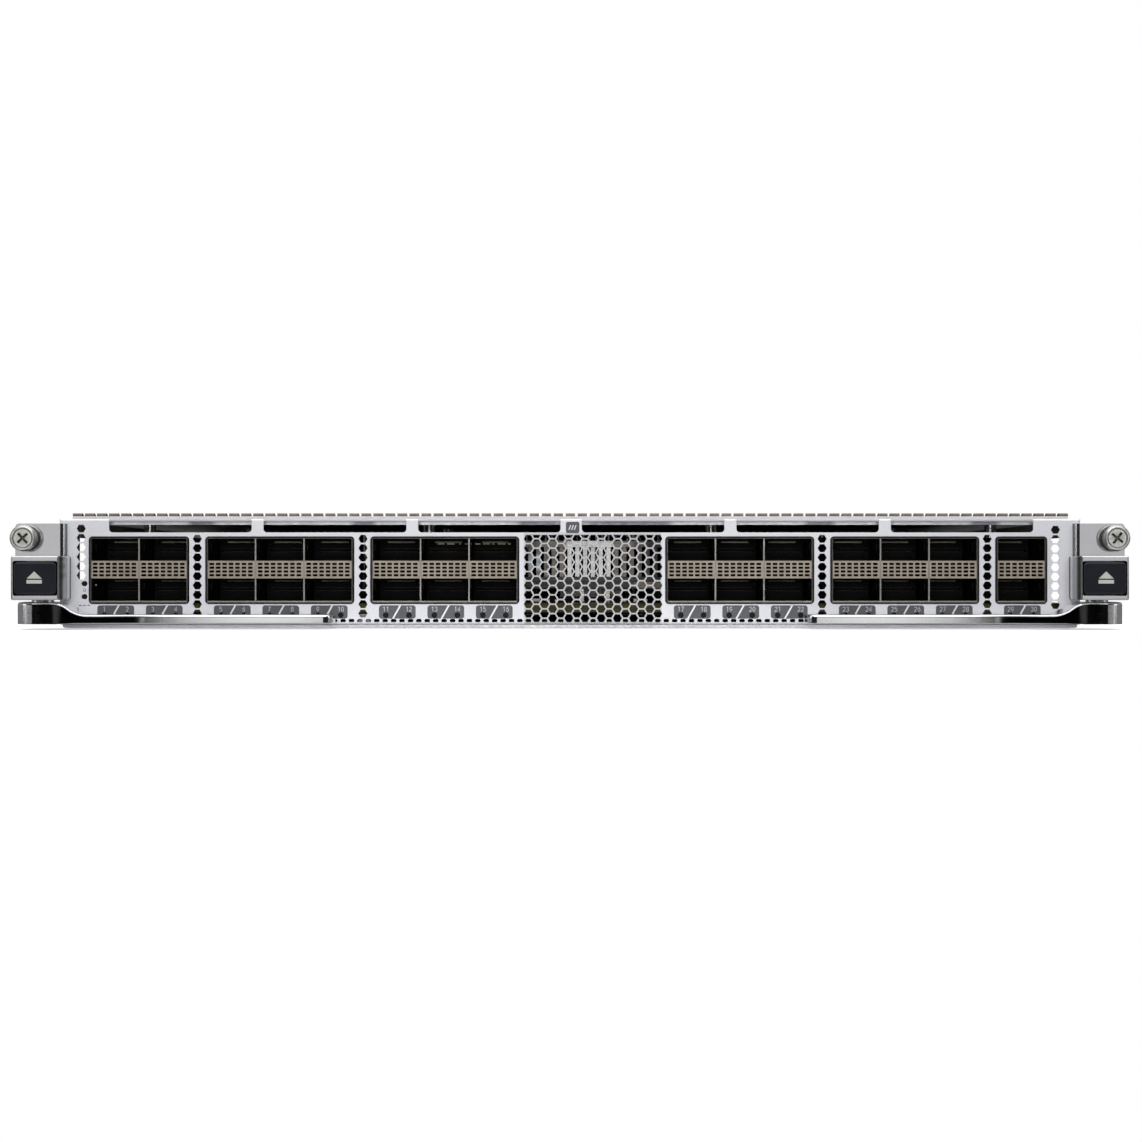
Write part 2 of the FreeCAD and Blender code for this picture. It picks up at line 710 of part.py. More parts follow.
# ------------------------------------------------------------- board components
for k, cx in enumerate((-150.0, -92.0, 158.0), start=1):
    case = fuse([box(cx - 29, 372, "boardlow+boardthick+0.6", 58, 37, 11.5), box(cx - 27, 374, "boardlow+boardthick+12.1", 54, 33, 1.0)])
    pins = [rod(cx + dx, 376 + dy, "boardlow+boardthick", 0.8, 1.0) for dx in (-24, 24) for dy in (0, 29)]
    node(fuse([case] + pins), "power_module_%d" % k)
node(group([box(x, y, "boardlow+boardthick", 11, 11, 7.5) for x, y in
            ((-60, 352), (-44, 352), (-28, 352), (34, 352), (50, 352), (66, 352), (82, 352), (-60, 368), (-44, 368), (66, 368), (82, 368))]),
     "power_inductors")
node(group([rod(x, y, "boardlow+boardthick", 4.0, 10.5) for x, y in
            ((-184, 352), (-174, 352), (-164, 352), (108, 380), (108, 390), (108, 400), (184, 352), (174, 352), (-20, 400), (-10, 400), (30, 400), (40, 400))]),
     "capacitors")
node(group([box(x, y, "boardlow+boardthick", 13, 9, 1.1) for x, y in
            ((-46, 96), (-46, 110), (-46, 124), (-46, 138), (48, 96), (48, 110), (48, 124), (48, 138),
             (-70, 250), (-70, 264), (-70, 278), (-70, 292), (76, 250), (76, 264), (76, 278), (76, 292))]),
     "memory_chips")
node(group([box(cx - 6, 84, "boardlow+boardthick", 12, 12, 1.6) for g, cx in COLUMNS
            if abs(cx - 9) > 40 and abs(abs(cx) - 184) > 10 and abs(abs(cx) - 62) > 10]), "port_driver_chips")

# ------------------------------------------------------------------ rear pieces
# backplane connectors stand past the board's rear edge
def rear_connector(label, cx, width):
    shell = box(cx - width / 2, 488, "boardlow+boardthick", width, 36, 26)
    faces = []
    n = int((width - 4) / 8.0)
    for k in range(n):
        x = cx - (n * 8.0) / 2 + k * 8.0 + 1.0
        faces.append(box(x, 517, "boardlow+boardthick+3", 6.0, 8, 20))
    wedge = box(cx - width / 2 - 1, 480, "boardlow+boardthick+17", width + 2, 20, 12)
    return node(cut(shell, faces + [wedge]), label)


rear_connector("signal_connector_left", -84.0, 132.0)
rear_connector("signal_connector_right", 88.0, 124.0)
pw = cut(box(-182, 484, "boardlow+boardthick", 26, 38, 20), [box(-179.5 + k * 5.8, 506, "boardlow+boardthick+3", 3.4, 17, 14) for k in range(4)])
node(pw, "power_connector")
node(group([
    cut(box(-1.6, 492, "boardlow-2.4", 13.2, 32, 22), [rod(5.0, 505, 14.7, 3.2, 30, "y")]),
    cut(box(164, 486, "boardlow+boardthick", 15, 38, 15), [rod(171.5, 505, 17.0, 3.2, 30, "y")])]), "guide_sockets")

# angle bar that stiffens the board ahead of the rear connectors
bar = new_body("rear_stiffener")
s = sketch(bar, "YZ_Plane", -180.0, name="angle")
loop(s, [(452, 9.5), (462, 9.5), (462, 11.0), (453.5, 11.0), (453.5, 30), (452, 30)])
pad(bar, s, 360.0, name="angle_pad")
doc.recompute()
s = sketch(bar, at=-450.0, name="bar_vents")
for k in range(22):
    cx = -168 + k * 16.0
    round_rect(s, cx - 6, cx + 6, 15, 26, 2.5)
pocket(bar, s, 6.0, name="bar_vents_cut")
node(bar, "rear_stiffener")

# ------------------------------------------------------------- latch assemblies
# bracket: one casting that holds the button, the lever's pin and the captive screw
br = new_body("latch_bracket_left")
s = sketch(br, at="housfront", name="housing")
bound_rect(s, "-housout", "-housin", "houslow", "houstop")
p = pad(br, s, "housfront", name="housing_pad")
doc.recompute()
p = fillet(br, p, lambda e: abs(e.CenterOfMass.y + num("housfront") / 2) < 1e-3 and e.Length > 20, 0.7, "long_edges")
p = fillet(br, p, lambda e: all(abs(v.Point.y + num("housfront")) < 1e-4 for v in e.Vertexes) and e.CenterOfMass.z > num("houstop") - 1, 0.6, "brow")
# mouth of the housing, corners cut at 45 degrees
s = sketch(br, at="housfront", name="window")
wo, wi, wl, wt, wc = -num("windout"), -num("windin"), num("windlow"), num("windtop"), 0.5
loop(s, [(wo + wc, wl), (wi - wc, wl), (wi, wl + wc), (wi, wt - wc), (wi - wc, wt), (wo + wc, wt), (wo, wt - wc), (wo, wl + wc)])
p = pocket(br, s, "housfront-blockfront", name="window_cut")
# tab with the screw's hole, and the short wall that carries it to the faceplate
s = sketch(br, "XY_Plane", "houstop-1", name="tab")
to, ti, tw, tf, tb = -num("tabout"), -num("tabin"), -num("tabwall"), -num("tabfront"), -num("tabback")
rb = 2.2
geo = []
def arc(cx, cy, r, a0, a1):
    return Part.ArcOfCircle(Part.Circle(V(cx, cy, 0), V(0, 0, 1), r), math.radians(a0), math.radians(a1))
def seg(a, b):
    return Part.LineSegment(V(a[0], a[1], 0), V(b[0], b[1], 0))
s.addGeometry([
    seg((to, tf), (tw - rb, tf)), arc(tw - rb, tf + rb, rb, 270, 360), seg((tw, tf + rb), (tw, 0)),
    seg((tw, 0), (ti, 0)), seg((ti, 0), (ti, tb)), seg((ti, tb), (to, tb)), seg((to, tb), (to, tf))], False)
p = pad(br, s, "tabtop-houstop+1", name="tab_pad")
doc.recompute()
p = fillet(br, p, lambda e: on(e, x=to, z=num("tabtop")) or on(e, x=to, z=num("houstop") - 1), 1.5, "tab_corners")
s = sketch(br, at=0, name="screw_hole")
circles(s, [(-num("screwx"), num("screwz"))], 3.0)
p = pocket(br, s, 10.0, toward=False, name="screw_hole_cut")
s = sketch(br, at="blockfront", name="spring_bore")
circles(s, [(-num("butx"), num("butz"))], 2.75)
p = pocket(br, s, "blockfront-boretip", name="spring_bore_cut")
s = sketch(br, "XY_Plane", "houslow", name="pin_bore")
circles(s, [(-num("pivx"), -num("pivy"))], num("pinr"))
p = pocket(br, s, 4.4, toward=False, name="pin_bore_cut")
s = sketch(br, at=0, name="fixing_holes")
circles(s, [(-197.5, 14.5), (-197.5, 24.5)], 1.0)
p = pocket(br, s, 6.0, toward=False, name="fixing_holes_cut")
node(br, "latch_bracket_left")
mirrored(br, "latch_bracket_right")

screws = []
for sx in (-1, 1):
    for z in (14.5, 24.5):
        shank = rod(sx * 197.5, -5.5, z, 1.0, 6.5, "y")
        head = rod(sx * 197.5, "sheet", z, 1.45, 1.5, "y")
        screws.append(cut(fuse([shank, head]), [rod(sx * 197.5, "sheet+0.8", z, 0.7, 2, "y")]))
node(group(screws), "bracket_screws")

# lever: a flat swan-necked arm, open underneath, with a hub for the pin
LT, LL, BT, BL, SK = num("levertop"), num("leverlow"), num("bartop"), num("barlow"), num("leverskin")


def neck(x_hi, z_hi, x_lo, z_lo):
    """Two equal tangent arcs from a high level at x_hi to a low level at x_lo."""
    dx, dz = x_lo - x_hi, z_hi - z_lo
    r = (dx * dx + dz * dz) / (4 * dz)
    ang = math.degrees(math.asin((dx / 2) / r))
    first = arc(x_hi, z_hi - r, r, 90 - ang, 90)      # leaves the high level
    second = arc(x_lo, z_lo + r, r, 270 - ang, 270)   # arrives at the low level
    return first, second


def lever_side(name, high, low, x_end, bottom):
    """Side view of the arm in the XZ plane, drawn as a sketch to be run along Y."""
    sk = fresh("Sketcher::SketchObject", name)
    sk.Placement = FreeCAD.Placement(V(0, 0, 0), FreeCAD.Rotation(V(1, 0, 0), 90))
    a1, a2 = neck(-199.0, high, -185.0, low)
    if bottom is None:
        under = [seg((x_end, BL), (-190.0, BL)), seg((-190.0, BL), (-197.0, LL)), seg((-197.0, LL), (-214.0, LL))]
        zr, zl = BL, LL
    else:
        under = [seg((x_end, bottom), (-214.0, bottom))]
        zr = zl = bottom
    sk.addGeometry([seg((-214.0, high), (-199.0, high)), a1, a2, seg((-185.0, low), (x_end, low)),
                    seg((x_end, low), (x_end, zr))] + under + [seg((-214.0, zl), (-214.0, high))], False)
    return sk


def lever_plan(name, inset):
    """Plan view of the arm in the XY plane; inset moves every side inwards."""
    q = inset
    xo, yr = -212.5 + q, -2.5 - q
    xt = -91.5 - q
    yf1, yf2 = -31.0 + q, -24.5 + q
    rc, rt, rr = 8.0 - q, max(3.5 - q, 1.0), 4.0 - q
    sk = fresh("Sketcher::SketchObject", name)
    dx, dy = 36.0, yf2 - yf1
    r = (dx * dx + dy * dy) / (4 * dy)
    ang = math.degrees(math.asin((dx / 2) / r))
    x1, x2 = -199.0, -163.0
    g = [
        arc(xo + rc, yf1 + rc, rc, 180, 270),
        seg((xo + rc, yf1), (x1, yf1)),
        arc(x1, yf1 + r, r, 270, 270 + ang),
        arc(x2, yf2 - r, r, 90, 90 + ang),
        seg((x2, yf2), (xt - rt, yf2)),
        arc(xt - rt, yf2 + rt, rt, 270, 360),
        seg((xt, yf2 + rt), (xt, yr - rt)),
        arc(xt - rt, yr - rt, rt, 0, 90),
        seg((xt - rt, yr), (xo + rr, yr)),
        arc(xo + rr, yr - rr, rr, 90, 180),
        seg((xo, yr - rr), (xo, yf1 + rc)),
    ]
    sk.addGeometry(g, False)
    return sk


def run(sk, length, direction, start=0.0):
    e = fresh("Part::Extrusion", "run")
    e.Base = sk
    e.DirMode = "Custom"
    e.Dir = direction
    e.LengthFwd = length
    e.Solid = True
    e.Placement = FreeCAD.Placement(direction * start, FreeCAD.Rotation())
    return e


side_out = run(lever_side("lever_side", LT, BT, -90.0, None), 40.0, V(0, 1, 0), -36.0)
plan_out = run(lever_plan("lever_plan", 0.0), 14.0, V(0, 0, 1), 0.0)
side_in = run(lever_side("lever_side_in", LT - SK, BT - SK, -90.0, 0.0), 40.0, V(0, 1, 0), -36.0)
plan_in = run(lever_plan("lever_plan_in", 1.7), 14.0, V(0, 0, 1), 0.0)
arm = common(side_out, plan_out, "arm")
arm = cut(arm, [common(side_in, plan_in, "under")], "arm_shell")
hub = rod("-pivx", "-pivy", 3.3, "hubr", "levertop-3.3-0.5")
arm = fuse([arm, hub], "arm_hub")
hole = rod("-pivx", "-pivy", 0, "borer", 12)
notch = fuse([box(-214, -9.6, 0, 5.0, 3.2, 12), rod(-209, -8.0, 0, 1.6, 12)])
lever = cut(arm, [hole, notch], "lever")
doc.recompute()
fil = fresh("Part::Fillet", "lever_edges")
fil.Base = lever
picks = []
for i, e in enumerate(lever.Shape.Edges, start=1):
    c = e.CenterOfMass
    mid = e.valueAt((e.FirstParameter + e.LastParameter) / 2)
    # the long front edge of the top skin, from the outer corner round to the tip
    ends = [v.Point for v in e.Vertexes]
    if all(pt.y < -19 for pt in ends) and all(pt.z > BT - 0.01 for pt in ends) and e.Length > 1:
        picks.append((i, 1.1, 1.1))
fil.Edges = picks
doc.recompute()
node(fil, "ejector_lever_left")
mirrored(fil, "ejector_lever_right")

node(group([fuse([rod(sx, "-pivy", 1.9, "pinheadr", 1.3), rod(sx, "-pivy", 3.2, "pinr", "15.4-3.2")]) for sx in ("-pivx", "pivx")]),
     "lever_pivot_pins")
node(group([ring(sx, "-pivy", "levertop+0.1", 4.4, "borer", "houslow-levertop-0.1") for sx in ("-pivx", "pivx")]),
     "pivot_washers")
node(group([ring(sx, "-pivy", 3.6, 5.4, 4.15, 4.8) for sx in ("-pivx", "pivx")]), "lever_springs")

# eject button: moulded cap with a stem that slides in the spring bore
bt = new_body("eject_button_left")
s = sketch(bt, at="butfront", name="cap")
round_rect(s, -num("butout"), -num("butin"), num("butlow"), num("buttop"), 1.2)
p = pad(bt, s, "butfront-butback", name="cap_pad")
doc.recompute()
p = fillet(bt, p, lambda e: all(abs(v.Point.y + num("butfront")) < 1e-4 for v in e.Vertexes), 0.5, "cap_edge")
s = sketch(bt, at="butback", name="stem")
circles(s, [(-num("butx"), num("butz"))], num("stemr"))
p = pad(bt, s, 7.5, name="stem_pad")
doc.recompute()
node(bt, "eject_button_left")
mirrored(bt, "eject_button_right")
sp = ring("-butx", "-butback+0.1", "butz", "coilr", "coilin", "butback-boretip-0.2", "y")
node(sp, "button_spring_left")
mirrored(sp, "button_spring_right")

# captive screw: ferrule pressed in the tab, sprung screw with a knurled head
ferrules = []
for sx in ("-screwx", "screwx"):
    barrel = fuse([rod(sx, "-ferrulefront", "screwz", "ferruler", "ferrulefront-tabfront", "y"),
                   rod(sx, "-tabfront", "screwz", 3.0, 3.3, "y")])
    ferrules.append(cut(barrel, [rod(sx, "-ferrulefront-1", "screwz", 3.45, "ferrulefront-tabfront+0.2", "y"),
                                 rod(sx, "-ferrulefront-1", "screwz", 1.5, 12, "y")]))
node(group(ferrules), "screw_ferrules")

sc = new_body("captive_screw_left")
s = sketch(sc, "YZ_Plane", "-screwx", name="half_section")
kz, KR = num("screwz"), num("knobr")
kf, kb, st, sr = -num("knobfront"), -num("knobback"), num("shanktip"), num("shankr")
nr, ts = num("neckr"), num("threadfrom")
loop(s, [(kf + 0.0, kz), (kf, kz + KR - 1.35), (kf + 0.35, kz + KR - 1.0), (kf + 0.35, kz + KR - 0.55), (kf + 0.9, kz + KR), (kb - 0.5, kz + KR),
         (kb, kz + KR - 0.4), (kb, kz + 4.35), (kf + 2.0, kz + 4.35), (kf + 2.0, kz + nr), (ts, kz + nr), (ts, kz + sr),
         (st - 0.4, kz + sr), (st, kz + sr - 0.4), (st, kz)])
doc.recompute()
rv = sc.newObject("PartDesign::Revolution", "turned")
rv.Profile = s
# the axis of revolution is the section's first edge line continued: a construction line in the sketch
k = s.addGeometry(Part.LineSegment(V(-30, kz, 0), V(20, kz, 0)), True)
doc.recompute()
rv.ReferenceAxis = (s, ["Axis0"])
rv.Angle = 360.0
doc.recompute()
# cross recess
s2 = sketch(sc, at="knobfront", name="cross_recess")
cx, cz = -num("screwx"), num("screwz")
ca = math.radians(40)
def turned(pts):
    return [(cx + x * math.cos(ca) - z * math.sin(ca), cz + x * math.sin(ca) + z * math.cos(ca)) for x, z in pts]
w, l = 0.42, 1.9
loop(s2, turned([(w, w), (l, w), (l, -w), (w, -w), (w, -l), (-w, -l), (-w, -w), (-l, -w), (-l, w), (-w, w), (-w, l), (w, l)]))
pocket(sc, s2, 1.3, name="cross_recess_cut")
node(sc, "captive_screw_left")
mirrored(sc, "captive_screw_right")
sp = ring("-screwx", "-knobfront+2.1", "screwz", 3.2, 2.1, "knobfront-2.1-tabfront-0.9", "y")
node(sp, "screw_spring_left")
mirrored(sp, "screw_spring_right")

# ----------------------------------------------------------- check and write out
doc.recompute()
bad = [o.Name for o in doc.Objects if "Invalid" in o.State or "Error" in o.State]
if bad:
    raise RuntimeError("failed objects: %s" % bad)
os.makedirs("parts", exist_ok=True)
labels = [o.Label for o in NODES]
assert len(set(labels)) == len(labels) <= 60, len(labels)
total = None
for o in NODES:
    shape = o.Shape
    if shape.isNull() or not shape.isValid() or not shape.Solids:
        raise RuntimeError("bad shape: " + o.Label)
    if any(x.Volume <= 0 for x in shape.Solids):
        raise RuntimeError("inside-out solid: " + o.Label)
    total = shape.BoundBox if total is None else total.united(shape.BoundBox)
for o in NODES:
    o.Shape.exportStep(os.path.join("parts", o.Label + ".step"))
print(len(NODES), "nodes", "X %.2f..%.2f Y %.2f..%.2f Z %.2f..%.2f" % (total.XMin, total.XMax, total.YMin, total.YMax, total.ZMin, total.ZMax))
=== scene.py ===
import json
import math
import random

import bmesh
import bpy
from mathutils import Matrix, Vector

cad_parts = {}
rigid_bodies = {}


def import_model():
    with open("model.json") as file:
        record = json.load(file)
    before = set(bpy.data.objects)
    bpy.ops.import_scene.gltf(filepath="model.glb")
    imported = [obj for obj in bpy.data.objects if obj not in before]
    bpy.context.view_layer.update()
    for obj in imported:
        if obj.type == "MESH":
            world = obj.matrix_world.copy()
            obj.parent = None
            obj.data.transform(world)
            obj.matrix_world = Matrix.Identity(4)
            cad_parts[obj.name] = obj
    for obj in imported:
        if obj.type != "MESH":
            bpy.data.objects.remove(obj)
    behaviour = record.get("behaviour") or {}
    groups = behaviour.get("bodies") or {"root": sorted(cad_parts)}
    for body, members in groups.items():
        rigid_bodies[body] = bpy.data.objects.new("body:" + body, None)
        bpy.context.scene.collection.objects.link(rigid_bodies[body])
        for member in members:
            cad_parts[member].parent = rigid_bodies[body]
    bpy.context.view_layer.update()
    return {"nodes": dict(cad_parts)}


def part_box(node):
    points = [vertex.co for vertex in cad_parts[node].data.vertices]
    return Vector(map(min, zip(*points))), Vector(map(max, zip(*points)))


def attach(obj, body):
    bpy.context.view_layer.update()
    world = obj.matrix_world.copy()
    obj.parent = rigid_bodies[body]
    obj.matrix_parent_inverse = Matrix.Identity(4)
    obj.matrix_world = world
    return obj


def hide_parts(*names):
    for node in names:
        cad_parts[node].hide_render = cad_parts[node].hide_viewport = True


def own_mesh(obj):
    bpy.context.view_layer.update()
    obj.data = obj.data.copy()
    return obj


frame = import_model()
NODES = frame["nodes"]
random.seed(7)

MM = 0.001
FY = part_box("faceplate")[0].y  # the faceplate's front plane


def pt(x, y, z):
    """Millimetres measured from the faceplate's front to metres in the row frame."""
    return Vector((x * MM, FY + y * MM, z * MM))


# ------------------------------------------------------------------ materials
def new_mat(name):
    m = bpy.data.materials.new(name)
    m.use_nodes = True
    nt = m.node_tree
    nt.nodes.clear()
    out = nt.nodes.new("ShaderNodeOutputMaterial")
    bsdf = nt.nodes.new("ShaderNodeBsdfPrincipled")
    nt.links.new(bsdf.outputs[0], out.inputs[0])
    return m, nt, bsdf


def coords(nt, scale=(1, 1, 1), kind="Object"):
    tc = nt.nodes.new("ShaderNodeTexCoord")
    mp = nt.nodes.new("ShaderNodeMapping")
    mp.inputs["Scale"].default_value = scale
    nt.links.new(tc.outputs[kind], mp.inputs["Vector"])
    return mp.outputs[0]


def noise(nt, vec, scale, detail=4.0, rough=0.55, distort=0.0):
    n = nt.nodes.new("ShaderNodeTexNoise")
    n.inputs["Scale"].default_value = scale
    n.inputs["Detail"].default_value = detail
    n.inputs["Roughness"].default_value = rough
    n.inputs["Distortion"].default_value = distort
    nt.links.new(vec, n.inputs["Vector"])
    return n.outputs["Fac"]


def ramp(nt, fac, stops):
    r = nt.nodes.new("ShaderNodeValToRGB")
    cr = r.color_ramp
    while len(cr.elements) < len(stops):
        cr.elements.new(0.5)
    for e, (p, c) in zip(cr.elements, stops):
        e.position = p
        e.color = (c[0], c[1], c[2], 1.0)
    nt.links.new(fac, r.inputs[0])
    return r.outputs[0]


def remap(nt, fac, lo, hi, a=0.0, b=1.0):
    r = nt.nodes.new("ShaderNodeMapRange")
    r.inputs["From Min"].default_value = a
    r.inputs["From Max"].default_value = b
    r.inputs["To Min"].default_value = lo
    r.inputs["To Max"].default_value = hi
    nt.links.new(fac, r.inputs["Value"])
    return r.outputs[0]


def mix(nt, fac, a, b, mode="MIX"):
    m = nt.nodes.new("ShaderNodeMix")
    m.data_type = "RGBA"
    m.blend_type = mode
    for sock, v in ((m.inputs[0], fac), (m.inputs[6], a), (m.inputs[7], b)):
        if hasattr(v, "is_linked"):
            nt.links.new(v, sock)
        elif isinstance(v, (int, float)):
            sock.default_value = v
        else:
            sock.default_value = (v[0], v[1], v[2], 1.0)
    return m.outputs[2]


def bump(nt, bsdf, height, strength, distance, normal=None):
    b = nt.nodes.new("ShaderNodeBump")
    b.inputs["Strength"].default_value = strength
    b.inputs["Distance"].default_value = distance
    nt.links.new(height, b.inputs["Height"])
    if normal is not None:
        nt.links.new(normal, b.inputs["Normal"])
    nt.links.new(b.outputs[0], bsdf.inputs["Normal"])
    return b.outputs[0]


def metal(name, light, dark, rough=(0.28, 0.42), grain=(1, 1, 1), grain_scale=900.0, bump_h=0.00002,
          metallic=1.0, cloud=60.0, speck=None):
    """Plated or rolled metal: cloudy tone, fine grain that runs along the stretched axis, and grain in the roughness."""
    m, nt, b = new_mat(name)
    v = coords(nt)
    vg = coords(nt, grain)
    c = noise(nt, v, cloud, 5.0, 0.6)
    g = noise(nt, vg, grain_scale, 3.0, 0.6)
    col = ramp(nt, c, [(0.32, dark), (0.68, light)])
    fine = ramp(nt, g, [(0.3, (0.90, 0.90, 0.90)), (0.7, (1.0, 1.0, 1.0))])
    col = mix(nt, 1.0, col, fine, "MULTIPLY")
    if speck:
        s = noise(nt, v, 2600.0, 2.0)
        f = ramp(nt, s, [(0.62, (0, 0, 0)), (0.72, (speck, speck, speck))])
        col = mix(nt, f, col, (0.25, 0.24, 0.22))
    nt.links.new(col, b.inputs["Base Color"])
    b.inputs["Metallic"].default_value = metallic
    nt.links.new(remap(nt, g, rough[0], rough[1], 0.25, 0.75), b.inputs["Roughness"])
    bump(nt, b, g, 0.25, bump_h)
    return m


def plastic(name, light, dark, rough=(0.42, 0.55), grain_scale=2500.0, bump_h=0.00002, coat=0.0, specular=0.5):
    m, nt, b = new_mat(name)
    v = coords(nt)
    c = noise(nt, v, 120.0, 4.0)
    g = noise(nt, v, grain_scale, 2.0, 0.5)
    nt.links.new(ramp(nt, c, [(0.3, dark), (0.7, light)]), b.inputs["Base Color"])
    nt.links.new(remap(nt, g, rough[0], rough[1], 0.3, 0.7), b.inputs["Roughness"])
    b.inputs["Specular IOR Level"].default_value = specular
    b.inputs["Coat Weight"].default_value = coat
    b.inputs["Coat Roughness"].default_value = 0.15
    bump(nt, b, g, 0.35, bump_h)
    return m


def between(nt, axis, lo, hi, soft):
    """1 between two places along an axis (metres), falling to 0 over the soft distance."""
    sep = nt.nodes.new("ShaderNodeSeparateXYZ")
    nt.links.new(coords(nt), sep.inputs[0])
    a = remap(nt, sep.outputs[axis], 0.0, 1.0, lo - soft, lo + soft)
    b = remap(nt, sep.outputs[axis], 1.0, 0.0, hi - soft, hi + soft)
    m = nt.nodes.new("ShaderNodeMath")
    m.operation = "MULTIPLY"
    nt.links.new(a, m.inputs[0])
    nt.links.new(b, m.inputs[1])
    return m.outputs[0]


M = {}
M["face"] = metal("face_plate", (0.86, 0.865, 0.90), (0.80, 0.805, 0.85), (0.40, 0.52), (1, 1, 1), 1800.0, 0.000012, 0.55, 30.0)
M["zinc"] = metal("zinc_sheet", (0.70, 0.71, 0.72), (0.56, 0.57, 0.59), (0.32, 0.48), (1, 0.04, 1), 900.0, 0.00002, 1.0, 22.0, 0.35)
M["tray_front"] = M["zinc"]


def vent_field(m):
    """Painted shade: over the field of many small vents in the middle, the plate's colour is darkened."""
    nt = m.node_tree
    b = [n for n in nt.nodes if n.type == "BSDF_PRINCIPLED"][0]
    src = b.inputs["Base Color"].links[0].from_socket
    pr = nt.nodes.new("ShaderNodeMath")
    pr.operation = "MULTIPLY"
    nt.links.new(between(nt, "X", -0.0180, 0.0358, 0.0004), pr.inputs[0])
    nt.links.new(between(nt, "Z", 0.0010, 0.0372, 0.0006), pr.inputs[1])
    painted_shading = mix(nt, pr.outputs[0], (1.0, 1.0, 1.0), (0.70, 0.70, 0.69))
    nt.links.new(mix(nt, 1.0, src, painted_shading, "MULTIPLY"), b.inputs["Base Color"])



M["plated"] = metal("plated_steel", (0.78, 0.77, 0.74), (0.62, 0.61, 0.58), (0.22, 0.34), (1, 1, 1), 1500.0, 0.00001, 1.0, 300.0)
M["spacer"] = metal("spacer_nickel", (0.45, 0.395, 0.325), (0.35, 0.305, 0.25), (0.40, 0.56), (0.2, 1, 1), 1800.0, 0.00001, 0.6, 200.0)
M["shield"] = metal("shield_nickel", (0.22, 0.205, 0.18), (0.15, 0.14, 0.125), (0.34, 0.50), (0.2, 1, 1), 1800.0, 0.00001, 0.7, 200.0)
M["gasket"] = metal("finger_alloy", (0.20, 0.165, 0.145), (0.13, 0.105, 0.09), (0.30, 0.44), (0.3, 1, 1), 1500.0, 0.00001, 0.9, 400.0)
M["gasket_base"] = metal("finger_carrier", (0.84, 0.825, 0.81), (0.76, 0.745, 0.73), (0.40, 0.55), (0.3, 1, 1), 1500.0, 0.00001, 0.3, 200.0)
# painted shade: the chip lids' nickel is darkened to the shade they sit in
M["lid"] = metal("chip_lid_nickel", (0.20, 0.195, 0.185), (0.13, 0.125, 0.12), (0.40, 0.55), (1, 1, 1), 1200.0, 0.00001, 0.9, 80.0)
M["fins"] = metal("fin_aluminium", (0.40, 0.385, 0.37), (0.28, 0.265, 0.25), (0.30, 0.45), (1, 0.05, 1), 900.0, 0.00001, 1.0, 60.0)


def cage_mat(name="cage_nickel", node=None):
    """Nickelled sheet: a folded rim with a painted shadow at its outer edge and a painted highlight at its inner one;
    further in, painted shade makes it nearly black.
    """
    m, nt, b = new_mat(name)
    v = coords(nt)
    c = noise(nt, v, 90.0, 5.0, 0.6)
    g = noise(nt, coords(nt, (1, 0.1, 1)), 1400.0, 3.0)
    rim = ramp(nt, c, [(0.32, (0.20, 0.19, 0.175)), (0.68, (0.28, 0.265, 0.245))])
    painted_deep_shade = ramp(nt, c, [(0.32, (0.012, 0.0115, 0.011)), (0.68, (0.022, 0.021, 0.020))])
    sep = nt.nodes.new("ShaderNodeSeparateXYZ")
    nt.links.new(v, sep.inputs[0])
    if node:
        lo_, hi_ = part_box(node)
        near = None
        for axis, a_, b_ in (("X", lo_.x, lo_.x + 1), ("X", hi_.x, hi_.x - 1), ("Z", lo_.z, lo_.z + 1), ("Z", hi_.z, hi_.z - 1)):
            d_ = remap(nt, sep.outputs[axis], 0.0, 1.0, a_, b_)
            if near is not None:
                mn = nt.nodes.new("ShaderNodeMath")
                mn.operation = "MINIMUM"
                nt.links.new(near, mn.inputs[0])
                nt.links.new(d_, mn.inputs[1])
                d_ = mn.outputs[0]
            near = d_
        # painted shadow along the rim's outer edge, painted highlight just inside it
        line = ramp(nt, remap(nt, near, 0.0, 1.0, 0.0, 0.0012), [(0.34, (0.05, 0.047, 0.043)), (0.50, (0.40, 0.385, 0.355))])
        rim = mix(nt, 1.0, line, mix(nt, 0.5, rim, (0.9, 0.9, 0.9)), "MULTIPLY")
    # painted shade: from 1.6 mm to 3 mm behind the faceplate's front the sheet fades to nearly black
    depth = remap(nt, sep.outputs["Y"], 0.0, 1.0, FY + 0.0016, FY + 0.0030)
    nt.links.new(mix(nt, depth, rim, painted_deep_shade), b.inputs["Base Color"])
    b.inputs["Metallic"].default_value = 0.9
    nt.links.new(remap(nt, g, 0.30, 0.46, 0.25, 0.75), b.inputs["Roughness"])
    bump(nt, b, g, 0.25, 0.00001)
    return m


vent_field(M["face"])
M["cage"] = cage_mat()
for g in range(1, 7):
    M["cage_%d" % g] = cage_mat("cage_nickel_%d" % g, "port_cage_%d" % g)


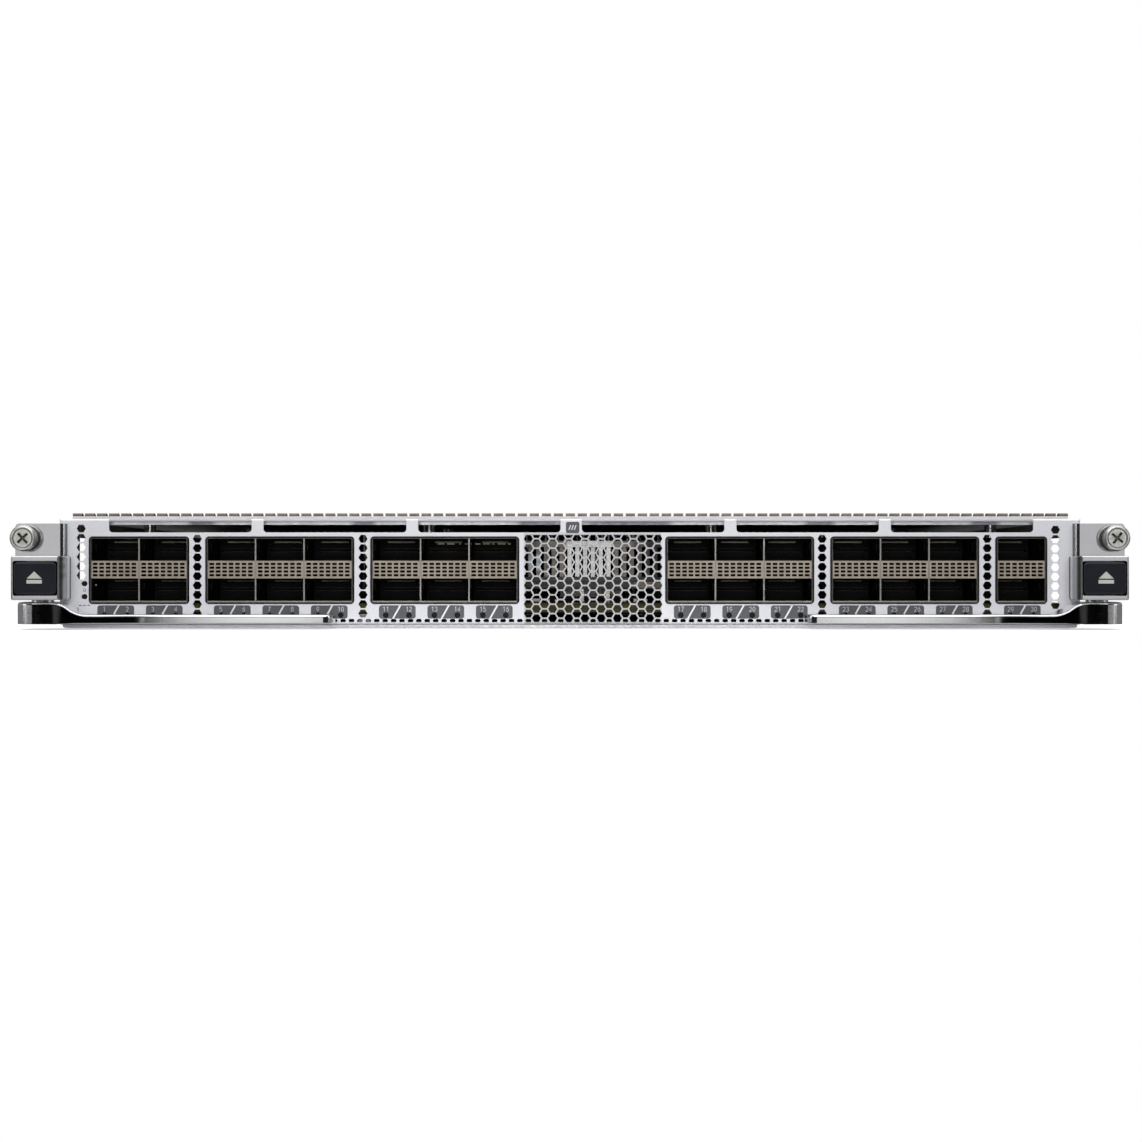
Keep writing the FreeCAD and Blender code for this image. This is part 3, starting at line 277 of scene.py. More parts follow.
def front_sink_mat(name):
    """Tarnished extrusion: a painted pool of light brightens a stretch in the middle, a painted highlight makes a
    bluish patch at the left, the colour is darker toward +X, and painted shade darkens the foot.
    """
    m, nt, b = new_mat(name)
    v = coords(nt)
    c = noise(nt, v, 160.0, 5.0, 0.6)
    g = noise(nt, coords(nt, (1, 0.05, 1)), 900.0, 3.0)
    dull = ramp(nt, c, [(0.30, (0.13, 0.11, 0.095)), (0.70, (0.27, 0.235, 0.205))])
    # a darker colour toward +X
    darker_right_part = ramp(nt, c, [(0.30, (0.03, 0.027, 0.024)), (0.70, (0.085, 0.075, 0.068))])
    dull = mix(nt, between(nt, "X", 0.0285, 0.2, 0.004), dull, darker_right_part)
    # painted pool of light: a bright stretch of the fins in the middle
    painted_light_stretch = ramp(nt, c, [(0.30, (0.66, 0.64, 0.62)), (0.70, (0.90, 0.885, 0.87))])
    col = mix(nt, between(nt, "X", -0.0016, 0.0174, 0.0006), dull, painted_light_stretch)
    # painted highlight: a bluish patch at the left
    painted_glint_patch = nt.nodes.new("ShaderNodeMath")
    painted_glint_patch.operation = "MULTIPLY"
    nt.links.new(between(nt, "X", -0.0180, -0.0125, 0.0006), painted_glint_patch.inputs[0])
    nt.links.new(between(nt, "Z", 0.0225, 0.0290, 0.0006), painted_glint_patch.inputs[1])
    col = mix(nt, painted_glint_patch.outputs[0], col, (0.50, 0.56, 0.60))
    # painted shade: the foot of the fins is darkened, a little less between X 27 and 44 mm
    painted_foot_shade = mix(nt, between(nt, "X", 0.027, 0.044, 0.001), (0.045, 0.040, 0.034), (0.20, 0.18, 0.145))
    col = mix(nt, between(nt, "Z", 0.010, 0.0194, 0.0003), col, painted_foot_shade)
    nt.links.new(col, b.inputs["Base Color"])
    b.inputs["Metallic"].default_value = 0.12
    b.inputs["Specular IOR Level"].default_value = 0.1
    nt.links.new(remap(nt, g, 0.4, 0.55, 0.25, 0.75), b.inputs["Roughness"])
    bump(nt, b, g, 0.25, 0.00001)
    return m


M["front_fins"] = front_sink_mat("front_fin_aluminium")
M["front_plate"] = front_sink_mat("front_clamp_plate")


def cover_mat():
    """Zinc sheet; its front hem is darkened by painted dark reflections in the stretches behind the vents, faces that
    look up get painted shade, and faces that look down are painted nearly black as shade.
    """
    m, nt, b = new_mat("cover_zinc")
    v = coords(nt)
    c = noise(nt, v, 22.0, 5.0, 0.6)
    g = noise(nt, coords(nt, (1, 0.04, 1)), 900.0, 3.0)
    col = ramp(nt, c, [(0.32, (0.62, 0.63, 0.645)), (0.68, (0.72, 0.73, 0.74))])
    # painted dark reflections on the front hem in the stretches behind the vents
    hem = between(nt, "Z", 0.036, 0.0418, 0.0002)
    near = between(nt, "Y", FY + 0.009, FY + 0.0118, 0.0002)
    m1 = nt.nodes.new("ShaderNodeMath")
    m1.operation = "MULTIPLY"
    nt.links.new(hem, m1.inputs[0])
    nt.links.new(near, m1.inputs[1])
    dark = None
    for x0, x1 in ((-0.1505, -0.1405), (-0.086, -0.077), (-0.0205, -0.0045), (0.0065, 0.0395), (0.093, 0.104), (0.158, 0.169)):
        w_ = between(nt, "X", x0, x1, 0.0015)
        if dark is None:
            dark = w_
        else:
            ad = nt.nodes.new("ShaderNodeMath")
            ad.operation = "MAXIMUM"
            nt.links.new(dark, ad.inputs[0])
            nt.links.new(w_, ad.inputs[1])
            dark = ad.outputs[0]
    m2 = nt.nodes.new("ShaderNodeMath")
    m2.operation = "MULTIPLY"
    nt.links.new(m1.outputs[0], m2.inputs[0])
    nt.links.new(dark, m2.inputs[1])
    col = mix(nt, m2.outputs[0], col, (0.26, 0.255, 0.29))
    gn = nt.nodes.new("ShaderNodeNewGeometry")
    sn = nt.nodes.new("ShaderNodeSeparateXYZ")
    nt.links.new(gn.outputs["True Normal"], sn.inputs[0])
    # painted shade: faces that look up are darkened
    painted_cover_top_shade = remap(nt, sn.outputs["Z"], 0.0, 1.0, 0.5, 0.8)
    col = mix(nt, painted_cover_top_shade, col, mix(nt, 1.0, col, (0.60, 0.605, 0.615), "MULTIPLY"))
    # painted shade: faces that look down are nearly black and not metallic
    painted_underside_shade = remap(nt, sn.outputs["Z"], 0.0, 1.0, -0.5, -0.8)
    col = mix(nt, painted_underside_shade, col, (0.030, 0.030, 0.032))
    nt.links.new(col, b.inputs["Base Color"])
    nt.links.new(remap(nt, painted_underside_shade, 1.0, 0.0), b.inputs["Metallic"])
    b.inputs["Specular IOR Level"].default_value = 0.05
    nt.links.new(remap(nt, g, 0.34, 0.50, 0.25, 0.75), b.inputs["Roughness"])
    bump(nt, b, g, 0.25, 0.00002)
    return m


M["cover"] = cover_mat()
M["bright"] = metal("bright_plate", (0.66, 0.66, 0.67), (0.56, 0.56, 0.575), (0.11, 0.15), (1, 1, 1), 1500.0, 0.0000015, 1.0, 18.0)


def inner_wall_bands(m):
    """Painted reflection: on the wall that faces the card's middle, dark and light bands run from its front back to the
    faceplate, darkest toward the front; faces that look up get painted shade.
    """
    nt = m.node_tree
    b = [n for n in nt.nodes if n.type == "BSDF_PRINCIPLED"][0]
    src = b.inputs["Base Color"].links[0].from_socket
    gn = nt.nodes.new("ShaderNodeNewGeometry")
    sn = nt.nodes.new("ShaderNodeSeparateXYZ")
    nt.links.new(gn.outputs["True Normal"], sn.inputs[0])
    sp = nt.nodes.new("ShaderNodeSeparateXYZ")
    nt.links.new(coords(nt), sp.inputs[0])
    pr = nt.nodes.new("ShaderNodeMath")
    pr.operation = "MULTIPLY"
    nt.links.new(sn.outputs["X"], pr.inputs[0])
    nt.links.new(sp.outputs["X"], pr.inputs[1])
    inner = remap(nt, pr.outputs[0], 0.0, 1.0, -0.05, -0.13)
    # painted reflection bands along the inner wall
    painted_reflection_band = ramp(nt, remap(nt, sp.outputs["Y"], 0.0, 1.0, FY - 0.032, FY), [(0.0, (0.30, 0.30, 0.30)), (0.10, (0.05, 0.05, 0.05)), (0.30, (0.07, 0.07, 0.07)),
                (0.42, (0.42, 0.42, 0.42)), (0.68, (0.45, 0.45, 0.46)), (0.78, (0.9, 0.9, 0.9)), (0.86, (0.85, 0.85, 0.85)), (0.93, (0.10, 0.10, 0.10)), (1.0, (0.25, 0.25, 0.25))])
    painted_shading = mix(nt, inner, (1.0, 1.0, 1.0), painted_reflection_band)
    painted_upward_shade = remap(nt, sn.outputs["Z"], 0.0, 1.0, 0.93, 0.99)
    shade = mix(nt, painted_upward_shade, painted_shading, mix(nt, 1.0, painted_shading, (0.62, 0.62, 0.63), "MULTIPLY"))
    nt.links.new(mix(nt, 1.0, src, shade, "MULTIPLY"), b.inputs["Base Color"])
    nt.links.new(painted_shading, b.inputs["Metallic"])
    b.inputs["Specular IOR Level"].default_value = 0.0


inner_wall_bands(M["bright"])
M["lever"] = metal("polished_arm", (0.82, 0.82, 0.83), (0.76, 0.76, 0.77), (0.09, 0.12), (0.2, 1, 1), 1500.0, 0.000001, 1.0, 18.0)


def outer_bend_tone(m):
    """Painted reflection: the arm's front face is darkened along its outer bend, and faces that look up get painted
    shade.
    """
    nt = m.node_tree
    b = [n for n in nt.nodes if n.type == "BSDF_PRINCIPLED"][0]
    src = b.inputs["Base Color"].links[0].from_socket
    gn = nt.nodes.new("ShaderNodeNewGeometry")
    sn = nt.nodes.new("ShaderNodeSeparateXYZ")
    nt.links.new(gn.outputs["True Normal"], sn.inputs[0])
    front = remap(nt, sn.outputs["Y"], 0.0, 1.0, -0.75, -0.92)
    sp = nt.nodes.new("ShaderNodeSeparateXYZ")
    nt.links.new(coords(nt), sp.inputs[0])
    ab = nt.nodes.new("ShaderNodeMath")
    ab.operation = "ABSOLUTE"
    nt.links.new(sp.outputs["X"], ab.inputs[0])
    grain = noise(nt, coords(nt), 900.0, 3.0)
    off = nt.nodes.new("ShaderNodeMath")
    off.operation = "MULTIPLY_ADD"
    nt.links.new(grain, off.inputs[0])
    off.inputs[1].default_value = 0.006
    nt.links.new(ab.outputs[0], off.inputs[2])
    # painted reflection along the outer bend
    painted_reflection_band = ramp(nt, remap(nt, off.outputs[0], 0.0, 1.0, 0.15, 0.22), [(0.0, (1, 1, 1)), (0.12, (0.80, 0.80, 0.80)), (0.30, (0.12, 0.12, 0.12)), (0.66, (0.05, 0.05, 0.05)),
                (0.79, (0.05, 0.05, 0.05)), (0.90, (0.60, 0.60, 0.60)), (1.0, (1, 1, 1))])
    painted_shading = mix(nt, front, (1.0, 1.0, 1.0), painted_reflection_band)
    painted_upward_shade = remap(nt, sn.outputs["Z"], 0.0, 1.0, 0.93, 0.99)
    painted_shading = mix(nt, painted_upward_shade, painted_shading, (0.55, 0.55, 0.56))
    nt.links.new(mix(nt, 1.0, src, painted_shading, "MULTIPLY"), b.inputs["Base Color"])


outer_bend_tone(M["lever"])


SCREW_X, SCREW_Z = 212.0, 35.0


def turned_rings(m):
    """Painted highlights and painted groove shade in rings on the front of the screw's head, where grooves and lands
    are turned.
    """
    nt = m.node_tree
    b = [n for n in nt.nodes if n.type == "BSDF_PRINCIPLED"][0]
    src = b.inputs["Base Color"].links[0].from_socket
    gn = nt.nodes.new("ShaderNodeNewGeometry")
    sn = nt.nodes.new("ShaderNodeSeparateXYZ")
    nt.links.new(gn.outputs["True Normal"], sn.inputs[0])
    front = remap(nt, sn.outputs["Y"], 0.0, 1.0, -0.3, -0.6)
    sp = nt.nodes.new("ShaderNodeSeparateXYZ")
    nt.links.new(coords(nt), sp.inputs[0])
    ab = nt.nodes.new("ShaderNodeMath")
    ab.operation = "ABSOLUTE"
    nt.links.new(sp.outputs["X"], ab.inputs[0])
    parts_ = []
    for sock, c_ in ((ab.outputs[0], SCREW_X * MM), (sp.outputs["Z"], SCREW_Z * MM)):
        d_ = nt.nodes.new("ShaderNodeMath")
        d_.operation = "SUBTRACT"
        nt.links.new(sock, d_.inputs[0])
        d_.inputs[1].default_value = c_
        q_ = nt.nodes.new("ShaderNodeMath")
        q_.operation = "POWER"
        nt.links.new(d_.outputs[0], q_.inputs[0])
        q_.inputs[1].default_value = 2.0
        parts_.append(q_.outputs[0])
    ad = nt.nodes.new("ShaderNodeMath")
    ad.operation = "ADD"
    nt.links.new(parts_[0], ad.inputs[0])
    nt.links.new(parts_[1], ad.inputs[1])
    rt = nt.nodes.new("ShaderNodeMath")
    rt.operation = "SQRT"
    nt.links.new(ad.outputs[0], rt.inputs[0])
    # painted highlights and groove shade in rings about the screw's axis
    ring = ramp(nt, remap(nt, rt.outputs[0], 0.0, 1.0, 0.0, 0.006), [(0.0, (0.55, 0.55, 0.52)), (0.30, (0.78, 0.78, 0.75)), (0.55, (0.95, 0.95, 0.93)), (0.60, (0.35, 0.35, 0.34)),
               (0.655, (0.32, 0.32, 0.31)), (0.69, (1.0, 1.0, 1.0)), (0.76, (0.80, 0.80, 0.79)), (0.80, (0.45, 0.45, 0.45)), (0.84, (0.95, 0.95, 0.95)), (1.0, (0.85, 0.85, 0.85))])
    painted_shading = mix(nt, front, (1.0, 1.0, 1.0), ring)
    nt.links.new(mix(nt, 1.0, src, painted_shading, "MULTIPLY"), b.inputs["Base Color"])


M["recess"] = metal("recess_shadow", (0.24, 0.23, 0.20), (0.16, 0.155, 0.135), (0.35, 0.5), (1, 1, 1), 1200.0, 0.000004, 1.0, 260.0)
M["foam"] = plastic("black_foam", (0.008, 0.008, 0.009), (0.003, 0.003, 0.004), (0.85, 0.95), 900.0, 0.0003, 0.0, 0.1)
M["screw"] = metal("turned_screw", (0.90, 0.90, 0.87), (0.74, 0.74, 0.71), (0.24, 0.38), (1, 1, 1), 1200.0, 0.000006, 1.0, 260.0)
turned_rings(M["screw"])
M["spring"] = metal("spring_wire", (0.62, 0.61, 0.60), (0.46, 0.45, 0.44), (0.22, 0.34), (1, 1, 1), 1500.0, 0.00001, 1.0, 300.0)
M["cast"] = metal("die_cast", (0.58, 0.58, 0.58), (0.46, 0.46, 0.47), (0.38, 0.55), (1, 1, 1), 1800.0, 0.00003, 1.0, 180.0)
M["black"] = plastic("black_moulded", (0.010, 0.010, 0.011), (0.005, 0.005, 0.006), (0.38, 0.55), specular=0.25)
M["port_black"] = plastic("connector_moulded", (0.0035, 0.0038, 0.0046), (0.0018, 0.0019, 0.0022), (0.45, 0.6), specular=0.12)
M["button"] = plastic("button_moulded", (0.0105, 0.0125, 0.0185), (0.0075, 0.009, 0.0135), (0.34, 0.44), 3200.0, 0.000008, 0.0, 0.35)
M["pipe"] = plastic("smoked_pipe", (0.004, 0.004, 0.005), (0.002, 0.002, 0.003), (0.30, 0.42), 2500.0, 0.000004, 0.0, 0.15)
M["ferrite"] = plastic("grey_ferrite", (0.16, 0.16, 0.165), (0.10, 0.10, 0.105), (0.5, 0.7))
M["white_ink"] = plastic("white_ink", (0.86, 0.86, 0.86), (0.80, 0.80, 0.81), (0.5, 0.65))
M["grey_ink"] = plastic("grey_ink", (0.105, 0.107, 0.115), (0.088, 0.090, 0.098), (0.45, 0.6))
M["icon_ink"] = plastic("icon_ink", (0.56, 0.57, 0.52), (0.50, 0.51, 0.46), (0.4, 0.55))
# painted shade: the gold of the port contacts is darkened to the shade deep in the ports
M["gold"] = metal("contact_gold", (0.075, 0.062, 0.042), (0.045, 0.036, 0.024), (0.40, 0.50), (1, 1, 1), 1500.0, 0.000005, 0.8, 300.0)
M["contact"] = metal("plated_contact", (0.78, 0.58, 0.26), (0.62, 0.45, 0.20), (0.25, 0.38), (1, 1, 1), 1500.0, 0.000005, 1.0, 300.0)
M["digit_ink"] = plastic("digit_ink", (0.56, 0.56, 0.57), (0.50, 0.50, 0.515), (0.5, 0.65))


def board_mat():
    """Solder mask over copper: faint straight traces and a darker laminate at the cut edge."""
    m, nt, b = new_mat("circuit_laminate")
    v = coords(nt)
    brick = nt.nodes.new("ShaderNodeTexBrick")
    brick.inputs["Scale"].default_value = 240.0
    brick.inputs["Mortar Size"].default_value = 0.035
    brick.inputs["Color1"].default_value = (0.030, 0.050, 0.020, 1)
    brick.inputs["Color2"].default_value = (0.036, 0.058, 0.024, 1)
    brick.inputs["Mortar"].default_value = (0.060, 0.085, 0.034, 1)
    nt.links.new(v, brick.inputs["Vector"])
    geo = nt.nodes.new("ShaderNodeNewGeometry")
    sep = nt.nodes.new("ShaderNodeSeparateXYZ")
    nt.links.new(geo.outputs["True Normal"], sep.inputs[0])
    up = nt.nodes.new("ShaderNodeMath")
    up.operation = "ABSOLUTE"
    nt.links.new(sep.outputs["Z"], up.inputs[0])
    lam = coords(nt, (1, 1, 1))
    wave = nt.nodes.new("ShaderNodeTexNoise")
    wave.inputs["Scale"].default_value = 900.0
    nt.links.new(coords(nt, (0.15, 0.15, 4.0)), wave.inputs["Vector"])
    edge = ramp(nt, wave.outputs["Fac"], [(0.35, (0.060, 0.050, 0.016)), (0.65, (0.092, 0.078, 0.028))])
    col = mix(nt, up.outputs[0], edge, brick.outputs["Color"])
    nt.links.new(col, b.inputs["Base Color"])
    nt.links.new(remap(nt, up.outputs[0], 0.75, 0.42), b.inputs["Roughness"])
    nt.links.new(remap(nt, up.outputs[0], 0.0, 0.25), b.inputs["Coat Weight"])
    b.inputs["Coat Roughness"].default_value = 0.2
    b.inputs["Specular IOR Level"].default_value = 0.25
    bump(nt, b, noise(nt, v, 1600.0), 0.2, 0.00002)
    return m


M["board"] = board_mat()


def give(node, mat):
    o = NODES[node]
    o.data.materials.clear()
    o.data.materials.append(M[mat])
    for p in o.data.polygons:
        p.material_index = 0


GIVE = {
    "faceplate": "face", "base_tray": "zinc", "top_cover": "cover", "side_bracket_left": "zinc", "side_bracket_right": "zinc",
    "circuit_board": "board", "board_standoffs": "plated", "board_screws": "plated", "cover_posts": "plated", "cover_screws": "plated",
    "cage_dividers": "cage", "cage_spacers": "spacer", "port_connectors": "port_black", "port_light_pipes": "pipe", "status_light_pipe": "pipe",
    "top_gasket_strip": "gasket", "heat_sink_front": "front_fins", "heat_sink_left": "fins", "heat_sink_right": "fins", "heat_sink_rear": "fins",
    "sink_clamp_plate": "front_plate", "chip_substrates": "board", "chip_lids": "lid",
    "power_module_1": "black", "power_module_2": "black", "power_module_3": "black", "power_inductors": "ferrite", "capacitors": "fins",
    "memory_chips": "black", "port_driver_chips": "black", "signal_connector_left": "black", "signal_connector_right": "black",
    "power_connector": "black", "guide_sockets": "cast", "rear_stiffener": "zinc", "latch_bracket_left": "bright", "latch_bracket_right": "bright",
    "bracket_screws": "plated", "ejector_lever_left": "lever", "ejector_lever_right": "lever", "lever_pivot_pins": "plated",
    "pivot_washers": "plated", "lever_springs": "spring", "eject_button_left": "button", "eject_button_right": "button",
    "button_spring_left": "spring", "button_spring_right": "spring", "screw_ferrules": "plated", "captive_screw_left": "screw",
    "captive_screw_right": "screw", "screw_spring_left": "spring", "screw_spring_right": "spring",
}
for g in range(1, 7):
    GIVE["port_cage_%d" % g] = "cage_%d" % g
for n, mm in GIVE.items():
    give(n, mm)
assert set(GIVE) == set(NODES), set(GIVE) ^ set(NODES)


# --------------------------------------------------------------- mesh building
class Shape:
    """Vertices in millimetres from the faceplate's front, and faces."""

    def __init__(self):
        self.v, self.f = [], []

    def add(self, verts, faces):
        k = len(self.v)
        self.v += [pt(*p) for p in verts]
        self.f += [[k + i for i in face] for face in faces]
        return self

    def box(self, x0, x1, y0, y1, z0, z1):
        v = [(x0, y0, z0), (x1, y0, z0), (x1, y1, z0), (x0, y1, z0), (x0, y0, z1), (x1, y0, z1), (x1, y1, z1), (x0, y1, z1)]
        return self.add(v, [(0, 3, 2, 1), (4, 5, 6, 7), (0, 1, 5, 4), (1, 2, 6, 5), (2, 3, 7, 6), (3, 0, 4, 7)])

    def plate(self, outline, y0, y1):
        """A flat piece in the XZ plane: outline is a list of (x, z), anticlockwise as seen from the front."""
        n = len(outline)
        v = [(x, y0, z) for x, z in outline] + [(x, y1, z) for x, z in outline]
        f = [tuple(range(n)), tuple(range(2 * n - 1, n - 1, -1))]
        f += [(i, n + i, n + (i + 1) % n, (i + 1) % n) for i in range(n)]
        return self.add(v, f)

    def rod(self, x, y0, y1, z, r, n=24, axis="y", r1=None):
        """A bar along an axis; for axis z, x and y are the centre and y1, z... are given as z0, z1."""
        r1 = r if r1 is None else r1
        ring0, ring1 = [], []
        for k in range(n):
            a = 2 * math.pi * k / n
            c, s = math.cos(a), math.sin(a)
            if axis == "y":
                ring0.append((x + r * c, y0, z + r * s))
                ring1.append((x + r1 * c, y1, z + r1 * s))
            elif axis == "z":
                ring0.append((x + r * c, z + r * s, y0))
                ring1.append((x + r1 * c, z + r1 * s, y1))
            else:
                ring0.append((y0, x + r * c, z + r * s))
                ring1.append((y1, x + r1 * c, z + r1 * s))
        return self.add(ring0 + ring1, [tuple(range(n - 1, -1, -1)), tuple(range(n, 2 * n))] +
                        [(i, (i + 1) % n, n + (i + 1) % n, n + i) for i in range(n)])

    def obj(self, name, mat, body="chassis", bevel=0.0, segments=2, slot=None, smooth=False):
        me = bpy.data.meshes.new(name)
        me.from_pydata([tuple(p) for p in self.v], [], self.f)
        me.validate()
        bm = bmesh.new()
        bm.from_mesh(me)
        bmesh.ops.recalc_face_normals(bm, faces=bm.faces)
        bm.to_mesh(me)
        bm.free()
        o = bpy.data.objects.new(name, me)
        bpy.context.scene.collection.objects.link(o)
        me.materials.append(M[mat])
        if smooth:
            for p in me.polygons:
                p.use_smooth = True
        if bevel:
            b = o.modifiers.new("edge", "BEVEL")
            b.width = bevel * MM
            b.segments = segments
            b.limit_method = "ANGLE"
            b.angle_limit = math.radians(35)
            b.harden_normals = False
        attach(o, body)
        return o


def rounded(x0, x1, z0, z1, r, n=6):
    pts = []
    for cx, cz, a0 in ((x1 - r, z0 + r, -90), (x1 - r, z1 - r, 0), (x0 + r, z1 - r, 90), (x0 + r, z0 + r, 180)):
        for k in range(n + 1):
            a = math.radians(a0 + 90 * k / n)
            pts.append((cx + r * math.cos(a), cz + r * math.sin(a)))
    return pts


def holed_plate(name, outlines, mat, y_front, thick, body="chassis"):
    """Flat plates in the XZ plane with holes: each entry is a list of loops, the outer one first."""
    cu = bpy.data.curves.new(name, "CURVE")
    cu.dimensions = "2D"
    cu.fill_mode = "BOTH"
    cu.extrude = thick / 2
    for loops in outlines:
        for loop in loops:
            sp = cu.splines.new("POLY")
            sp.points.add(len(loop) - 1)
            for p, (x, z) in zip(sp.points, loop):
                p.co = (x, z, 0, 1)
            sp.use_cyclic_u = True
    tmp = bpy.data.objects.new(name + "_tmp", cu)
    bpy.context.scene.collection.objects.link(tmp)
    bpy.context.view_layer.update()
    me = bpy.data.meshes.new_from_object(tmp.evaluated_get(bpy.context.evaluated_depsgraph_get()))
    bpy.data.objects.remove(tmp)
    me.name = name
    for v in me.vertices:
        x, z, d = v.co
        v.co = pt(x, y_front + thick / 2 - d, z)
    bm = bmesh.new()
    bm.from_mesh(me)
    bmesh.ops.remove_doubles(bm, verts=bm.verts, dist=1e-7)
    bmesh.ops.recalc_face_normals(bm, faces=bm.faces)
    bm.to_mesh(me)
    bm.free()
    me.materials.clear()
    me.materials.append(M[mat])
    o = bpy.data.objects.new(name, me)
    bpy.context.scene.collection.objects.link(o)
    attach(o, body)
    return o


def arc(cx, cz, rx, rz, a0, a1, n=14):
    return [(cx + rx * math.cos(math.radians(a0 + (a1 - a0) * k / n)), cz + rz * math.sin(math.radians(a0 + (a1 - a0) * k / n)))
            for k in range(n + 1)]


# plain one-line figures in a box 0.56 wide and 1 high: lists of open lines
FIGURES = {
    "0": [arc(0.28, 0.5, 0.26, 0.5, 90, 450, 28)],
    "1": [[(0.10, 0.80), (0.34, 1.0), (0.34, 0.0)]],
    "2": [arc(0.28, 0.73, 0.25, 0.27, 165, -40, 14) + [(0.02, 0.0), (0.55, 0.0)]],
    "3": [arc(0.26, 0.76, 0.24, 0.24, 150, -90, 12) + arc(0.26, 0.27, 0.27, 0.27, 90, -150, 14)[1:]],
    "4": [[(0.42, 0.0), (0.42, 1.0), (0.0, 0.28), (0.58, 0.28)]],
    "5": [[(0.50, 1.0), (0.08, 1.0), (0.05, 0.56)] + arc(0.26, 0.32, 0.28, 0.32, 130, -145, 16)],
    "6": [[(0.44, 1.0)] + arc(0.42, 0.38, 0.38, 0.52, 120, 180, 6) + arc(0.29, 0.31, 0.25, 0.31, 180, 540, 24)],
    "7": [[(0.02, 1.0), (0.54, 1.0), (0.16, 0.0)]],
    "8": [arc(0.28, 0.76, 0.22, 0.24, -90, 270, 22), arc(0.28, 0.26, 0.27, 0.26, 90, 450, 24)],
    "9": [[(0.12, 0.0)] + arc(0.14, 0.62, 0.38, 0.52, -60, 0, 6) + arc(0.27, 0.69, 0.25, 0.31, 0, 360, 24)],
}


def stroke_figures(name, items, mat, y_front, thick, width, body="chassis", slot=None):
    """Raised one-line figures: items are (text, middle x, foot z, height)."""
    sh = Shape()
    for text, mx, z0, h in items:
        step = 0.78 * h
        x0 = mx - (step * (len(text) - 1) + 0.56 * h) / 2
        for i, ch in enumerate(text):
            for line in FIGURES[ch]:
                pts = [(x0 + i * step + px * h, z0 + pz * h) for px, pz in line]
                clean = [pts[0]]
                for q in pts[1:]:
                    if math.hypot(q[0] - clean[-1][0], q[1] - clean[-1][1]) > 1e-4:
                        clean.append(q)
                left, right = [], []
                for k, q in enumerate(clean):
                    a = clean[max(k - 1, 0)]
                    b = clean[min(k + 1, len(clean) - 1)]
                    d1 = Vector((q[0] - a[0], q[1] - a[1])) if k else Vector((b[0] - q[0], b[1] - q[1]))
                    d2 = Vector((b[0] - q[0], b[1] - q[1])) if k < len(clean) - 1 else d1.copy()
                    d1.normalize()
                    d2.normalize()
                    t = d1 + d2
                    if t.length < 1e-6:
                        t = d1
                    t.normalize()
                    nrm = Vector((-t.y, t.x))
                    m = min(1.0 / max(0.35, nrm.dot(Vector((-d1.y, d1.x)))), 2.2) * width / 2
                    left.append((q[0] + nrm.x * m, q[1] + nrm.y * m))
                    right.append((q[0] - nrm.x * m, q[1] - nrm.y * m))
                n = len(clean)
                ring = left + right[::-1]
                v = [(x, y_front, z) for x, z in ring] + [(x, y_front + thick, z) for x, z in ring]
                N = 2 * n
                f = [(k, k + 1, N - 2 - k, N - 1 - k) for k in range(n - 1)]
                f += [(N + N - 1 - k, N + N - 2 - k, N + k + 1, N + k) for k in range(n - 1)]
                f += [(k, N + k, N + (k + 1) % N, (k + 1) % N) for k in range(N)]
                sh.add(v, f)
    return sh.obj(name, mat, body, slot=slot)


def circle(cx, cz, r, n=24):
    return [(cx + r * math.cos(2 * math.pi * k / n), cz + r * math.sin(2 * math.pi * k / n)) for k in range(n)]


# -------------------------------------------------- latch metal, edges softened
def softened(node, name, mat, body, width):
    """The node's own shape as one welded mesh, its sharp edges rounded."""
    bm = bmesh.new()
    bm.from_mesh(NODES[node].data)
    bmesh.ops.remove_doubles(bm, verts=bm.verts, dist=2e-6)
    bmesh.ops.dissolve_limit(bm, angle_limit=math.radians(1.0), verts=bm.verts, edges=bm.edges)
    me = bpy.data.meshes.new(name)
    bm.to_mesh(me)
    bm.free()
    me.materials.append(M[mat])
    o = bpy.data.objects.new(name, me)
    bpy.context.scene.collection.objects.link(o)
    b = o.modifiers.new("edge", "BEVEL")
    b.width = width * MM
    b.segments = 3
    b.limit_method = "ANGLE"
    b.angle_limit = math.radians(40)
    b.use_clamp_overlap = True
    b.miter_outer = "MITER_ARC"
    bpy.context.view_layer.update()
    done = bpy.data.meshes.new_from_object(o.evaluated_get(bpy.context.evaluated_depsgraph_get()))
    o.modifiers.clear()
    o.data = done
    done.name = name
    for q in done.polygons:
        q.use_smooth = True
    done.set_sharp_from_angle(angle=math.radians(50))
    wn = o.modifiers.new("normals", "WEIGHTED_NORMAL")
    wn.mode = "FACE_AREA"
    wn.weight = 70
    wn.keep_sharp = True
    bpy.context.view_layer.update()
    done = bpy.data.meshes.new_from_object(o.evaluated_get(bpy.context.evaluated_depsgraph_get()))
    o.modifiers.clear()
    o.data = done
    done.name = name
    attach(o, body)
    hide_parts(node)
    return o


for side in ("left", "right"):
    softened("latch_bracket_" + side, "latch_housing_" + side, "bright", "chassis", 0.42)
    softened("ejector_lever_" + side, "lever_arm_" + side, "lever", "lever_" + side, 0.7)

